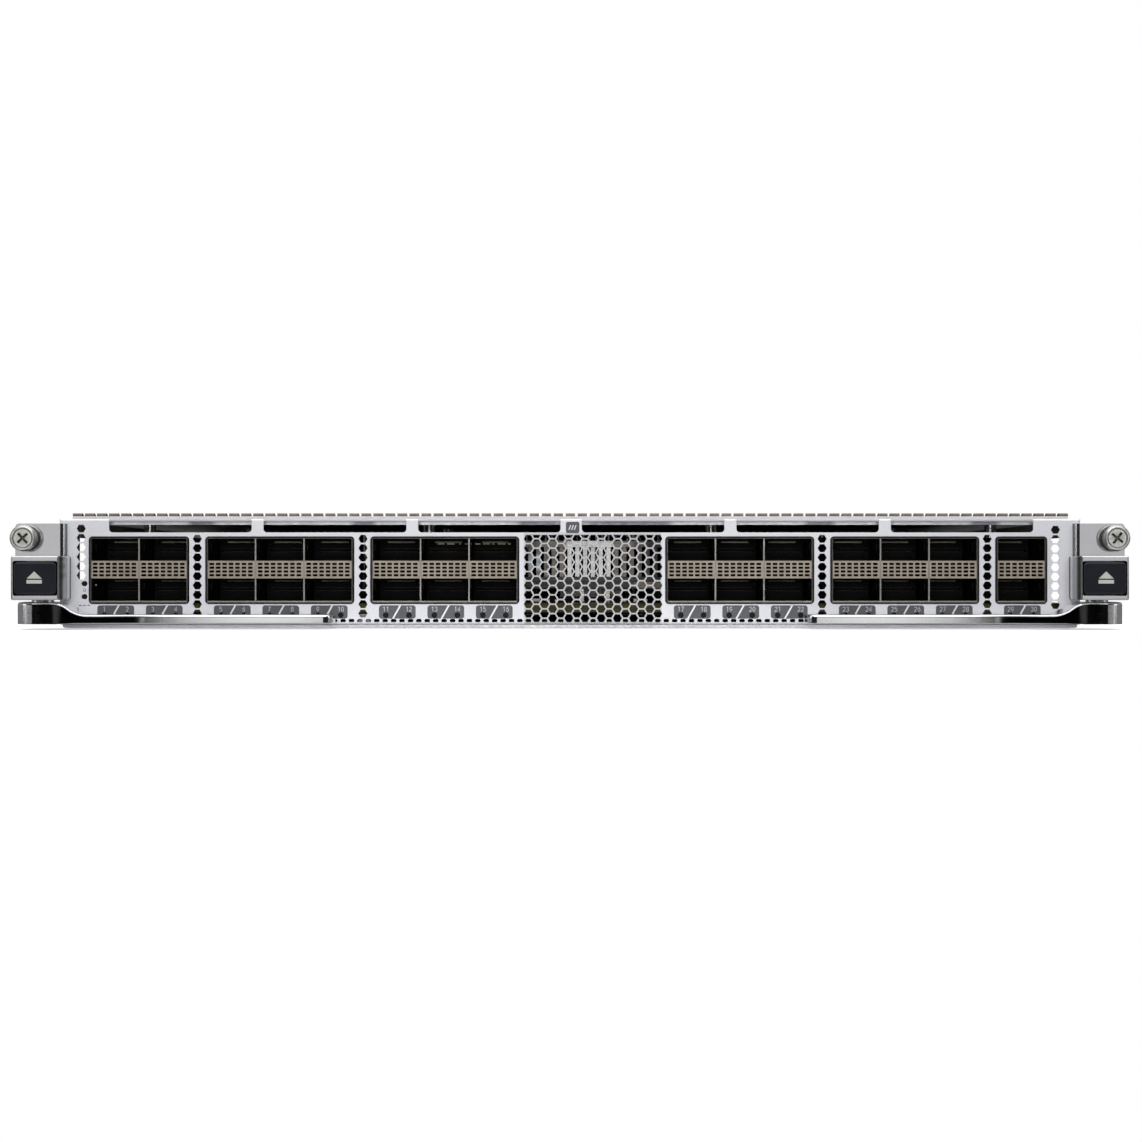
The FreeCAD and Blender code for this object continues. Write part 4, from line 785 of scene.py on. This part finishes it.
# ----------------------------------------------------------- faceplate printing
GROUPS = [(2, -168.85), (3, -113.7), (3, -49.05), (3, 66.5), (3, 131.15), (1, 176.8)]
COLS = [c + (k - (n - 1) / 2.0) * 19.0 for n, c in GROUPS for k in range(n)]
pads, slashes, digits = [], [], []
num = 1
for cx in COLS:
    lx = cx + 0.4
    outer = rounded(lx - 7.2, lx + 7.2, 3.6, 8.8, 1.05)
    pads.append([outer, circle(lx - 4.5, 4.94, 1.16), circle(lx + 4.5, 4.94, 1.16)])
    w, lean = 0.36, 1.45
    slashes.append([[(lx - 0.25 - lean - w, 3.6), (lx - 0.25 - lean + w, 3.6), (lx - 0.25 + lean + w, 8.8), (lx - 0.25 + lean - w, 8.8)]])
    digits.append((str(num), lx - 4.5, 6.45, 1.72))
    digits.append((str(num + 1), lx + 4.5, 6.45, 1.72))
    num += 2
holed_plate("port_label_pads", pads, "grey_ink", -0.030, 0.030)
holed_plate("port_label_slashes", slashes, "white_ink", -0.045, 0.015)
stroke_figures("port_numbers", digits, "digit_ink", -0.045, 0.015, 0.24, slot="face_metal")
holed_plate("top_tag", [[rounded(-1.6, 3.7, 37.1, 41.5, 0.7)]], "grey_ink", -0.030, 0.030)
marks = []
for k in range(3):
    x = -0.35 + k * 1.05
    marks.append([[(x - 0.26, 38.4), (x + 0.16, 38.4), (x + 0.82, 40.2), (x + 0.40, 40.2)]])
holed_plate("top_tag_marks", marks, "white_ink", -0.045, 0.015)
# plain marks by the two status lamps: a ring and a short dashed line
holed_plate("lamp_marks", [[circle(-190.2, 14.75, 0.62), circle(-190.2, 14.75, 0.42)],
                           [[(-192.4, 8.6), (-191.3, 8.6), (-191.3, 8.95), (-192.4, 8.95)]],
                           [[(-190.75, 8.6), (-189.65, 8.6), (-189.65, 8.95), (-190.75, 8.95)]],
                           [[(-189.1, 8.6), (-188.0, 8.6), (-188.0, 8.95), (-189.1, 8.95)]]],
            "grey_ink", -0.02, 0.02)

# ------------------------------------------------------------------- eject icons
for side, sx in (("left", -1), ("right", 1)):
    cx = -204.75 if sx < 0 else 204.95
    tri = [(cx - 2.87, 19.35), (cx + 2.87, 19.35), (cx, 22.1)]
    bar = [(cx - 2.95, 17.45), (cx + 2.95, 17.45), (cx + 2.95, 18.85), (cx - 2.95, 18.85)]
    holed_plate("eject_icon_" + side, [[tri], [bar]], "icon_ink", -31.99, 0.06, body="button_" + side)


# ---------------------------------------------------------------- eject buttons
def loft(rings, close_front=True, close_back=True):
    """Rings of equal count, each a list of (x, y, z), joined in order; ends closed by a fan about the middle."""
    n = len(rings[0])
    v = [q for ring in rings for q in ring]
    f = []
    for k in range(len(rings) - 1):
        f += [(k * n + i, (k + 1) * n + i, (k + 1) * n + (i + 1) % n, k * n + (i + 1) % n) for i in range(n)]
    for on, k in ((close_front, 0), (close_back, len(rings) - 1)):
        if on:
            mid = [sum(q[j] for q in rings[k]) / n for j in range(3)]
            v.append(tuple(mid))
            f += [(k * n + i, k * n + (i + 1) % n, len(v) - 1) for i in range(n)]
    return Shape().add(v, f)


for side, sx in (("left", -1), ("right", 1)):
    x0, x1 = sorted((sx * 212.85, sx * 196.2))
    rings = []
    for y, inset in ((-31.94, 1.6), (-31.96, 1.05), (-31.93, 0.80), (-31.82, 0.56), (-31.62, 0.36), (-31.3, 0.18), (-30.8, 0.06), (-30.2, 0.0), (-21.0, 0.0)):
        rings.append([(x, y, z) for x, z in rounded(x0 + inset, x1 - inset, 12.95 + inset, 25.95 - inset, max(1.75 - inset, 0.35), 10)])
    cap = loft(rings)
    stem = [[(sx * 204.5 + 1.5 * math.cos(2 * math.pi * k / 32), y, 19.45 + 1.5 * math.sin(2 * math.pi * k / 32)) for k in range(32)]
            for y in (-21.3, -14.0, -13.5)]
    k = loft(stem)
    cap_v = len(cap.v)
    cap.v += k.v
    cap.f += [[cap_v + i for i in face] for face in k.f]
    o = cap.obj("eject_button_cap_" + side, "button", "button_" + side, slot="button_plastic", smooth=True)
    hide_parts("eject_button_" + side)


# ------------------------------------------------------------------ coil springs
def coil(name, cx, y0, y1, z, r, wire, turns, mat, body, axis="y", n_ring=8, per_turn=28):
    steps = int(turns * per_turn)
    sh_v, sh_f = [], []
    for i in range(steps + 1):
        t = i / steps
        # even pitch along the whole coil
        u = t
        a = 2 * math.pi * turns * t
        along = y0 + (y1 - y0) * u
        if axis == "y":
            c = Vector((cx + r * math.cos(a), along, z + r * math.sin(a)))
            e1 = Vector((math.cos(a), 0, math.sin(a)))
            e2 = Vector((0, 1, 0))
        else:
            c = Vector((cx + r * math.cos(a), z + r * math.sin(a), along))
            e1 = Vector((math.cos(a), math.sin(a), 0))
            e2 = Vector((0, 0, 1))
        for k in range(n_ring):
            b = 2 * math.pi * k / n_ring
            p = c + (e1 * math.cos(b) + e2 * math.sin(b)) * wire
            sh_v.append((p.x, p.y, p.z))
    for i in range(steps):
        for k in range(n_ring):
            a0 = i * n_ring + k
            a1 = i * n_ring + (k + 1) % n_ring
            sh_f.append((a0, a1, a1 + n_ring, a0 + n_ring))
    sh_f.append(tuple(range(n_ring - 1, -1, -1)))
    sh_f.append(tuple(range(steps * n_ring, steps * n_ring + n_ring)))
    s = Shape()
    s.add(sh_v, sh_f)
    return s.obj(name, mat, body, slot="spring_steel", smooth=True)


for side, sx in (("left", -1), ("right", 1)):
    sp = coil("screw_coil_" + side, sx * 212.0, -13.1, -6.25, 35.0, 2.75, 0.30, 6.0, "spring", "chassis")
    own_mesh(sp)
    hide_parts("screw_spring_" + side)
    sp = coil("button_coil_" + side, sx * 204.5, -20.6, -5.4, 19.45, 2.15, 0.3, 8.0, "spring", "chassis")
    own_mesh(sp)
    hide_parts("button_spring_" + side)
a = coil("lever_coil_left", -204.5, 3.95, 8.05, -12.0, 4.75, 0.42, 4.4, "spring", "chassis", axis="z")
b_ = coil("lever_coil_right", 204.5, 3.95, 8.05, -12.0, 4.75, 0.42, 4.4, "spring", "chassis", axis="z")
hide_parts("lever_springs")
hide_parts("lever_springs")


# ------------------------------------------------------------------ finger strip
lo_g, hi_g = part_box("top_gasket_strip")
GX0, GX1 = lo_g.x / MM, hi_g.x / MM
PITCH_G = (GX1 - GX0 + 1.06) / 83
rail, fingers = Shape(), Shape()
rail.box(GX0, GX1, 0.65, 9.15, 42.8, 42.98)
rail.box(GX0, GX1, 0.65, 0.85, 42.98, 43.72)
front = [(0.9, 42.98), (0.95, 43.5), (1.0, 43.72), (0.86, 43.80), (0.80, 43.92), (0.82, 44.40), (0.95, 44.70), (1.30, 44.86), (2.4, 44.89),
         (3.8, 44.78), (5.4, 44.34), (7.0, 43.66), (8.2, 43.14), (8.9, 42.98)]
back = [(y + 0.12, z - 0.12) for y, z in front]
back[0], back[1], back[2], back[3], back[-1] = (1.06, 42.98), (1.08, 43.5), (1.13, 43.74), (1.10, 43.86), (8.62, 42.98)
for k in range(83):
    a = GX0 + k * PITCH_G
    b = a + PITCH_G - 1.06
    prof = front + back[::-1]
    n = len(prof)
    m = len(front)
    v = [(a, y, z) for y, z in prof] + [(b, y, z) for y, z in prof]
    f = [(i, n + i, n + (i + 1) % n, (i + 1) % n) for i in range(n)]
    for off in (0, n):
        f += [(off + i, off + i + 1, off + n - 2 - i, off + n - 1 - i) for i in range(m - 1)]
    fingers.add(v, f)
r_ = rail.obj("gasket_rail", "gasket_base", slot="spring_alloy", bevel=0.04)
f_ = fingers.obj("gasket_fingers", "gasket", slot="spring_alloy")
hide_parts("top_gasket_strip")
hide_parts("top_gasket_strip")


# --------------------------------------------------------------- captive screws
def lathe(profile, cx, cz, n=120, wave=None):
    """Closed solid of revolution about a line along Y: profile is (y, r) from the front centre to the tip centre."""
    v, f = [], []
    rings = []
    for y, r in profile:
        if r < 1e-6:
            rings.append([len(v)])
            v.append((cx, y, cz))
        else:
            ring = []
            for k in range(n):
                a = 2 * math.pi * k / n
                rr = wave(y, r, k) if wave else r
                ring.append(len(v))
                v.append((cx + rr * math.cos(a), y, cz + rr * math.sin(a)))
            rings.append(ring)
    for p, q in zip(rings, rings[1:]):
        if len(p) == 1:
            f += [(p[0], q[(k + 1) % n], q[k]) for k in range(n)]
        elif len(q) == 1:
            f += [(p[k], p[(k + 1) % n], q[0]) for k in range(n)]
        else:
            f += [(p[k], p[(k + 1) % n], q[(k + 1) % n], q[k]) for k in range(n)]
    s = Shape()
    s.add(v, f)
    return s


def cross_tool(cx, cz, turn, y0, y1, w, l):
    """A tapering cross-shaped plug."""
    out = [(w, w), (l, w), (l, -w), (w, -w), (w, -l), (-w, -l), (-w, -w), (-l, -w), (-l, w), (-w, w), (-w, l), (w, l)]
    c, s_ = math.cos(turn), math.sin(turn)
    big = [(cx + x * c - z * s_, y0, cz + x * s_ + z * c) for x, z in out]
    small = [(cx + (x * c - z * s_) * 0.62, y1, cz + (x * s_ + z * c) * 0.62) for x, z in out]
    s = Shape()
    s.add(big + small, [tuple(range(12)), tuple(range(23, 11, -1))] + [(i, 12 + i, 12 + (i + 1) % 12, (i + 1) % 12) for i in range(12)])
    return s


def knurl(y, r, k):
    if -14.45 < y < -10.45 and r > 4.9:
        return r - (0.16 if k % 2 else 0.0)
    return r


for side, sx in (("left", -1), ("right", 1)):
    cx, cz = sx * 212.0, 35.0
    prof = [(-15.25, 0), (-15.25, 3.45), (-15.05, 3.62), (-15.05, 3.86), (-15.5, 4.02), (-15.5, 4.35), (-15.35, 4.65), (-14.9, 4.92), (-14.6, 5.0),
            (-14.45, 5.1), (-14.4, 5.15), (-13.5, 5.15), (-12.5, 5.15), (-11.5, 5.15), (-10.55, 5.15), (-10.4, 5.05), (-10.0, 4.8),
            (-10.0, 4.35), (-13.5, 4.35), (-13.5, 1.35), (-1.55, 1.35), (-1.5, 1.75)]
    # rolled thread
    y = -1.3
    while y < 2.3:
        prof += [(y, 1.75), (y + 0.18, 1.5), (y + 0.36, 1.75)]
        y += 0.5
    prof += [(2.6, 1.7), (3.0, 1.3), (3.0, 0)]
    body = "screw_" + side
    o = lathe(prof, cx, cz, 144, knurl).obj("captive_screw_body_" + side, "screw", body, slot="screw_metal")
    tool = cross_tool(cx, cz, math.radians(43 if sx < 0 else 52), -15.45, -13.85, 0.52, 2.75).obj("tool_" + side, "screw", body)
    bm_mod = o.modifiers.new("recess", "BOOLEAN")
    bm_mod.operation = "DIFFERENCE"
    bm_mod.solver = "EXACT"
    bm_mod.object = tool
    bpy.context.view_layer.update()
    me = bpy.data.meshes.new_from_object(o.evaluated_get(bpy.context.evaluated_depsgraph_get()))
    o.modifiers.clear()
    o.data = me
    bpy.data.objects.remove(tool)
    o.data.materials.clear()
    o.data.materials.append(M["screw"])
    o.data.materials.append(M["recess"])
    mid = pt(cx, 0, cz)
    for q in o.data.polygons:
        q.use_smooth = False
        far = math.hypot(q.center.x - mid.x, q.center.z - mid.z)
        q.material_index = 1 if far < 0.0034 and FY - 0.01522 < q.center.y < FY - 0.0137 else 0
    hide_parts("captive_screw_" + side)

# ------------------------------------------------------------- inside the ports
strips, tabs, contacts, noses = Shape(), Shape(), Shape(), Shape()
for i, cx in enumerate(COLS):
    # bright shield edge over each connector, and a narrower one under the spacer
    strips.box(cx - 5.5, cx + 5.5, 39.0, 39.35, 33.55, 34.2)
    strips.box(cx - 5.5, cx + 5.5, 39.35, 42.0, 34.05, 34.2)
    strips.box(cx - 5.5, cx + 5.5, 39.0, 39.35, 18.05, 18.4)
    strips.box(cx - 5.5, cx + 5.5, 39.35, 42.0, 18.25, 18.4)
    # lanced tabs on the left wall of every port
    for z0, z1 in ((30.2, 32.9), (14.9, 17.5)):
        tabs.box(cx - 9.2, cx - 8.95, 12.6, 14.6, z0, z1)
        tabs.box(cx + 8.95, cx + 9.2, 12.6, 14.6, z0, z1)
    for mz in (14.9, 30.6):
        for k in range(19):
            x = cx - 7.2 + k * 0.8
            contacts.box(x - 0.19, x + 0.19, 41.5, 46.9, mz + 0.52, mz + 0.70)
            contacts.box(x - 0.19, x + 0.19, 41.5, 46.9, mz - 0.70, mz - 0.52)
strips.obj("connector_shield_edges", "shield", slot="nickel_sheet", bevel=0.05)
tabs.obj("cage_lanced_tabs", "cage", slot="nickel_sheet", bevel=0.04)
contacts.obj("port_contacts", "gold", slot="plated_steel")

# short upright lips of the tray's floor, seen through the lowest vents
lips = Shape()
for cx in (-190.9, -146.3, -81.1, 98.9, 163.9, 190.9):
    prof = [(cx - 2.4, 1.15), (cx + 2.4, 1.15), (cx + 2.4, 5.0), (cx + 2.1, 5.35), (cx - 2.1, 5.35), (cx - 2.4, 5.0)]
    lips.plate(prof, 8.0, 8.8)
lips.obj("tray_floor_lips", "gasket_base", slot="zinc_sheet", bevel=0.08)

# heads of the clinch studs along the tray's side walls
studs = Shape()
for sx in (-1, 1):
    for y in range(50, 500, 55):
        n, rings_ = 18, []
        for r_, d_ in ((2.3, 0.0), (2.3, 0.25), (1.9, 0.5), (0.9, 0.62)):
            rings_.append([(sx * (198.72 + d_), y + r_ * math.cos(2 * math.pi * k / n) * (1 if sx > 0 else -1), 4.9 + r_ * math.sin(2 * math.pi * k / n)) for k in range(n)])
        v_ = [q for r0 in rings_ for q in r0]
        f_ = [(i * n + j, i * n + (j + 1) % n, (i + 1) * n + (j + 1) % n, (i + 1) * n + j) for i in range(3) for j in range(n)]
        f_ += [tuple(range(3 * n, 4 * n)), tuple(range(n - 1, -1, -1))]
        studs.add(v_, f_)
studs.obj("tray_clinch_studs", "plated", slot="plated_steel")

# contacts in the rear connectors
pins = Shape()
for cx, width in ((-84.0, 132.0), (88.0, 124.0)):
    n = int((width - 4) / 8.0)
    for k in range(n):
        x = cx - (n * 8.0) / 2 + k * 8.0 + 1.0
        for r in range(8):
            z = 13.6 + 2.5 * r
            for dx in (1.5, 4.5):
                pins.box(x + dx - 0.2, x + dx + 0.2, 516.8, 521.8, z - 0.55, z + 0.55)
        pins.box(x + 2.9, x + 3.1, 516.8, 522.4, 12.9, 32.1)
pins.obj("signal_contacts", "contact", slot="plated_steel")
blades = Shape()
for k in range(4):
    x = -179.5 + k * 5.8
    blades.box(x + 0.7, x + 1.3, 506.0, 520.5, 13.4, 25.6)
    blades.box(x + 2.1, x + 2.7, 506.0, 520.5, 13.4, 25.6)
blades.obj("power_blades", "contact", slot="plated_steel", bevel=0.1)

# long shallow beads that stiffen the cover
beads = Shape()


def bead(x, y0, y1, w_, h_, zt=42.55):
    n = 10
    rings_ = []
    for k in range(7):
        t = k / 6.0
        off_ = w_ / 2 * (1 - t)
        hz = zt + h_ * math.sin(math.pi / 2 * (1 - (1 - t) ** 2))
        rr = max(w_ / 2 - (w_ / 2 - off_), 0.02)
        ring_ = []
        for a in range(n + 1):
            an = math.pi + math.pi * a / n
            ring_.append((x + rr * math.cos(an), y0 + rr * math.sin(an), hz))
        for a in range(n + 1):
            an = math.pi * a / n
            ring_.append((x + rr * math.cos(an), y1 + rr * math.sin(an), hz))
        rings_.append(ring_)
    m_ = len(rings_[0])
    v_ = [q for r0 in rings_ for q in r0]
    f_ = [(i * m_ + j, i * m_ + (j + 1) % m_, (i + 1) * m_ + (j + 1) % m_, (i + 1) * m_ + j) for i in range(6) for j in range(m_)]
    f_.append(tuple(range(6 * m_, 7 * m_)))
    f_.append(tuple(range(m_ - 1, -1, -1)))
    beads.add(v_, f_)


for x in (-165.0, -100.0, -15.0, 15.0, 100.0, 165.0):
    for y0, y1 in ((95.0, 205.0), (290.0, 440.0)):
        bead(x, y0, y1, 6.0, 0.55)
beads.obj("cover_beads", "cover", slot="zinc_sheet", smooth=True)

# conductive gasket frames behind the faceplate, around the cages; their black also stands as painted shade for the gap
# round each cage
frames = Shape()
for g in range(1, 7):
    lo_, hi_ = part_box("port_cage_%d" % g)
    x0, x1, z0, z1 = lo_.x / MM, hi_.x / MM, lo_.z / MM, hi_.z / MM
    e = 1.1
    for bx in ((x0 - e, x0 - 0.03, z0 - e, z1 + e), (x1 + 0.03, x1 + e, z0 - e, z1 + e), (x0 - 0.03, x1 + 0.03, z1 + 0.03, z1 + e)):
        frames.box(bx[0], bx[1], 1.9, 3.4, bx[2], bx[3])
frames.obj("cage_gasket_frames", "foam", slot="black_plastic")

tips = Shape()
for x0, x1 in ((-52.4, -49.6), (-48.6, -45.6), (-43.9, -43.0), (-41.6, -38.9), (-37.6, -35.4), (-34.4, -31.6), (-30.8, -29.9), (-28.6, -25.4), (-24.6, -23.4), (-170.1, -168.9)):
    tips.box(x0, x1, 12.0, 12.5, 32.75 if x0 > -100 else 32.8, 33.2 if x0 > -100 else 33.6)
tips.box(-186.6, -185.9, 4.0, 4.4, 16.4, 17.1)
tips.obj("port_spring_tips", "spacer", slot="nickel_sheet", bevel=0.08)

# black sheet over the board ahead of the rear connectors, a dark stand-in for shade that also shuts out the light from
# the rear
shade_baffle = Shape()
ribs = [(-188.0, 9.7)]
pts_ = []
for k in range(0, 95):
    x = -188.0 + k * 4.0
    pts_.append((x, 445.4 + (0.5 if k % 2 else 0.0)))
top_, low_ = 41.45, 9.65
n = len(pts_)
v = [(x, y, low_) for x, y in pts_] + [(x, y, top_) for x, y in pts_] + [(x, 449.0, low_) for x, y in pts_] + [(x, 449.0, top_) for x, y in pts_]
f = []
for k in range(n - 1):
    f += [(k, k + 1, n + k + 1, n + k), (2 * n + k, 3 * n + k, 3 * n + k + 1, 2 * n + k + 1), (n + k, n + k + 1, 3 * n + k + 1, 3 * n + k),
          (k, 2 * n + k, 2 * n + k + 1, k + 1)]
f += [(0, n, 3 * n, 2 * n), (n - 1, 3 * n - 1, 4 * n - 1, 2 * n - 1)]
f[-1] = (n - 1, 2 * n + n - 1, 3 * n + n - 1, n + n - 1)
shade_baffle.add(v, f)
shade_baffle.obj("rear_foam_seal", "foam", slot="black_plastic")

small = Shape()
for x, y, z0, w_, d_, h_ in ((15.5, 70.0, 9.5, 2.0, 2.6, 4.6), (5.1, 66.0, 9.5, 1.5, 1.5, 5.2), (-14.0, 70.0, 9.5, 3.4, 2.0, 1.5), (27.0, 68.0, 9.5, 1.8, 1.2, 1.4),
                             (31.0, 68.0, 9.5, 1.8, 1.2, 1.4), (22.0, 70.0, 9.5, 2.4, 1.6, 1.3), (-9.0, 68.0, 9.5, 1.6, 1.0, 1.1), (-5.5, 68.0, 9.5, 1.6, 1.0, 1.1)):
    small.box(x - w_ / 2, x + w_ / 2, y, y + d_, z0, z0 + h_)
small.rod(5.1, 63.0, 65.5, 14.4, 0.75, 16)
small.obj("front_board_parts", "shield", slot="grey_ceramic", bevel=0.15)

# black bar across the foot of the front heat sink's fins, a dark piece standing for the shade there
bar = Shape()
bar.box(-27.0, 46.0, 81.2, 81.9, 17.75, 19.85)
bar.obj("sink_foot_bar", "black", slot="black_plastic", bevel=0.12)

# --------------------------------------------------------------------- stage
cam_d = bpy.data.cameras.new("camera")
cam = bpy.data.objects.new("camera", cam_d)
bpy.context.scene.collection.objects.link(cam)
cam.location = (0.0004, FY - 1.300, 0.02225)
cam.rotation_euler = (math.radians(90), 0, 0)
cam_d.sensor_width = 36.0
cam_d.lens = 18.0 / (0.2237 / 1.300)
cam_d.clip_start, cam_d.clip_end = 0.01, 50
bpy.context.scene.camera = cam


def plain(name, color, rough=0.7, glow=0.0):
    m, nt, b = new_mat(name)
    v = coords(nt)
    n = noise(nt, v, 3.0, 2.0)
    lo = tuple(c * 0.985 for c in color)
    nt.links.new(ramp(nt, n, [(0.3, lo), (0.7, color)]), b.inputs["Base Color"])
    b.inputs["Roughness"].default_value = rough
    b.inputs["Specular IOR Level"].default_value = 0.2
    b.inputs["Emission Color"].default_value = (1, 1, 1, 1)
    b.inputs["Emission Strength"].default_value = glow
    return m


def sheet(name, pts, mat):
    me = bpy.data.meshes.new(name)
    me.from_pydata(pts, [], [tuple(range(len(pts)))])
    o = bpy.data.objects.new(name, me)
    bpy.context.scene.collection.objects.link(o)
    me.materials.append(mat)
    return o


FZ = -0.0003
floor_ = sheet("floor", [(-0.75, FY - 0.05, FZ), (0.75, FY - 0.05, FZ), (0.75, 0.75, FZ), (-0.75, 0.75, FZ)], plain("floor_paper", (0.93, 0.93, 0.935), 0.7, 0.35))
floor_.visible_glossy = False


def area(name, loc, aim, sx, sy, power, color=(1, 1, 1)):
    l = bpy.data.lights.new(name, "AREA")
    l.shape = "RECTANGLE"
    l.size, l.size_y = sx, sy
    l.energy = power
    l.color = color
    o = bpy.data.objects.new(name, l)
    bpy.context.scene.collection.objects.link(o)
    o.location = loc
    d = Vector(aim) - Vector(loc)
    o.rotation_euler = d.to_track_quat("-Z", "Y").to_euler()
    return o


area("softbox_top", (0, FY - 0.10, 1.3), (0, FY + 0.15, 0.0), 2.4, 1.2, 12)
area("softbox_high_front", (0, FY - 1.3, 1.15), (0, FY, 0.02), 2.0, 0.8, 12.5)
front_panel = area("panel_front", (0, FY - 2.4, 0.10), (0, FY, 0.02), 0.85, 0.42, 7.2)
area("softbox_left", (-1.6, FY - 0.35, 0.45), (-0.1, FY, 0.02), 0.45, 0.9, 3.5)
area("softbox_right", (1.6, FY - 0.35, 0.45), (0.1, FY, 0.02), 0.45, 0.9, 3.5)
area("softbox_back", (0, FY + 1.6, 1.2), (0, FY + 0.5, 0.0), 2.0, 0.8, 6)

# the polished latches see a narrow, dim panel each instead of the front one
POLISHED = ("latch_housing_", "lever_arm_", "captive_screw_body_", "screw_ferrules", "eject_button_cap_", "pivot_washers", "screw_coil_")
polished_all = bpy.data.collections.new("polished")
for o in list(bpy.context.scene.objects):
    if o.type == "MESH" and o.name.startswith(POLISHED):
        polished_all.objects.link(o)
for co in polished_all.collection_objects:
    co.light_linking.link_state = "EXCLUDE"
front_panel.light_linking.receiver_collection = polished_all
for side, sx in (("left", -1), ("right", 1)):
    own = bpy.data.collections.new("polished_" + side)
    arm = bpy.data.collections.new("polished_arm_" + side)
    for o in polished_all.objects:
        if o.name == "lever_arm_" + side:
            arm.objects.link(o)
        elif o.name.endswith(side) or not o.name.endswith(("left", "right")):
            own.objects.link(o)
    lt = area("panel_" + side, (sx * 0.485, FY - 2.4, 0.06), (sx * 0.18, FY, 0.02), 0.43, 0.40, 0.47)
    lt.light_linking.receiver_collection = own
    lt = area("panel_arm_" + side, (sx * 0.355, FY - 2.4, 0.06), (sx * 0.13, FY, 0.02), 0.23, 0.40, 0.16)
    lt.light_linking.receiver_collection = arm
    lt = area("panel_arm_side_" + side, (sx * 1.75, FY - 1.3, 0.08), (sx * 0.21, FY, 0.01), 1.6, 0.40, 1.5)
    lt.light_linking.receiver_collection = arm
    head = bpy.data.collections.new("screw_head_" + side)
    head.objects.link(bpy.context.scene.objects["captive_screw_body_" + side])
    lt = area("panel_screw_" + side, (sx * 0.62, FY - 2.4, 0.10), (sx * 0.21, FY, 0.035), 0.6, 0.50, 1.1)
    lt.light_linking.receiver_collection = head
    lt = area("panel_arm_inner_" + side, (sx * 0.320, FY - 2.4, 0.06), (sx * 0.12, FY, 0.02), 0.16, 0.40, 0.10)
    lt.light_linking.receiver_collection = arm

# low strip under the front edge, seen only in the polished pieces' lower edges
under_all = bpy.data.collections.new("polished_under")
for o in polished_all.objects:
    under_all.objects.link(o)
clear = bpy.data.collections.new("floor_passes")
clear.objects.link(floor_)
for co in clear.collection_objects:
    co.light_linking.link_state = "EXCLUDE"
lt = area("panel_under", (0.0, FY - 0.5, -0.35), (0.0, FY - 0.03, 0.0), 1.1, 0.30, 0.85)
lt.light_linking.receiver_collection = under_all
lt.light_linking.blocker_collection = clear

# light that reaches the middle heat sink past the vents
inside = bpy.data.collections.new("behind_vents")
for nm in ("heat_sink_front", "sink_clamp_plate", "front_board_parts", "sink_foot_bar"):
    inside.objects.link(bpy.context.scene.objects[nm] if nm in bpy.context.scene.objects else NODES[nm])
passes = bpy.data.collections.new("light_passes")
passes.objects.link(NODES["faceplate"])
for co in passes.collection_objects:
    co.light_linking.link_state = "EXCLUDE"
lt = area("panel_vents", (0.0, FY - 1.2, 0.05), (0.01, FY + 0.08, 0.025), 0.4, 0.3, 6.0)
lt.light_linking.receiver_collection = inside
lt.light_linking.blocker_collection = passes

w = bpy.data.worlds.new("studio")
bpy.context.scene.world = w
w.use_nodes = True
nt = w.node_tree
nt.nodes.clear()
out = nt.nodes.new("ShaderNodeOutputWorld")
bg = nt.nodes.new("ShaderNodeBackground")
tc = nt.nodes.new("ShaderNodeTexCoord")
sep = nt.nodes.new("ShaderNodeSeparateXYZ")
nt.links.new(tc.outputs["Generated"], sep.inputs[0])
# a dark room in front, lighter overhead and underfoot
dim = ramp(nt, remap(nt, sep.outputs["Z"], 0.0, 1.0, -1.0, 1.0),
           [(0.0, (0.75, 0.75, 0.76)), (0.36, (0.42, 0.42, 0.43)), (0.45, (0.03, 0.03, 0.032)), (0.62, (0.025, 0.025, 0.027)),
            (0.74, (0.20, 0.20, 0.205)), (0.86, (0.80, 0.80, 0.81)), (1.0, (0.95, 0.95, 0.96))])
open_ = ramp(nt, remap(nt, sep.outputs["Z"], 0.0, 1.0, -1.0, 1.0),
             [(0.0, (0.75, 0.75, 0.76)), (0.42, (0.60, 0.60, 0.61)), (0.50, (0.36, 0.36, 0.37)), (0.60, (0.55, 0.55, 0.56)), (1.0, (0.95, 0.95, 0.96))])
sky = mix(nt, remap(nt, sep.outputs["Y"], 0.0, 1.0, -0.55, -0.10), dim, open_)
nt.links.new(sky, bg.inputs["Color"])
bg.inputs["Strength"].default_value = 0.55
bgw = nt.nodes.new("ShaderNodeBackground")
bgw.inputs["Color"].default_value = (1, 1, 1, 1)
bgw.inputs["Strength"].default_value = 1.0
lp = nt.nodes.new("ShaderNodeLightPath")
ms = nt.nodes.new("ShaderNodeMixShader")
nt.links.new(lp.outputs["Is Camera Ray"], ms.inputs[0])
nt.links.new(bg.outputs[0], ms.inputs[1])
nt.links.new(bgw.outputs[0], ms.inputs[2])
nt.links.new(ms.outputs[0], out.inputs[0])
bpy.context.scene.view_settings.view_transform = "Standard"
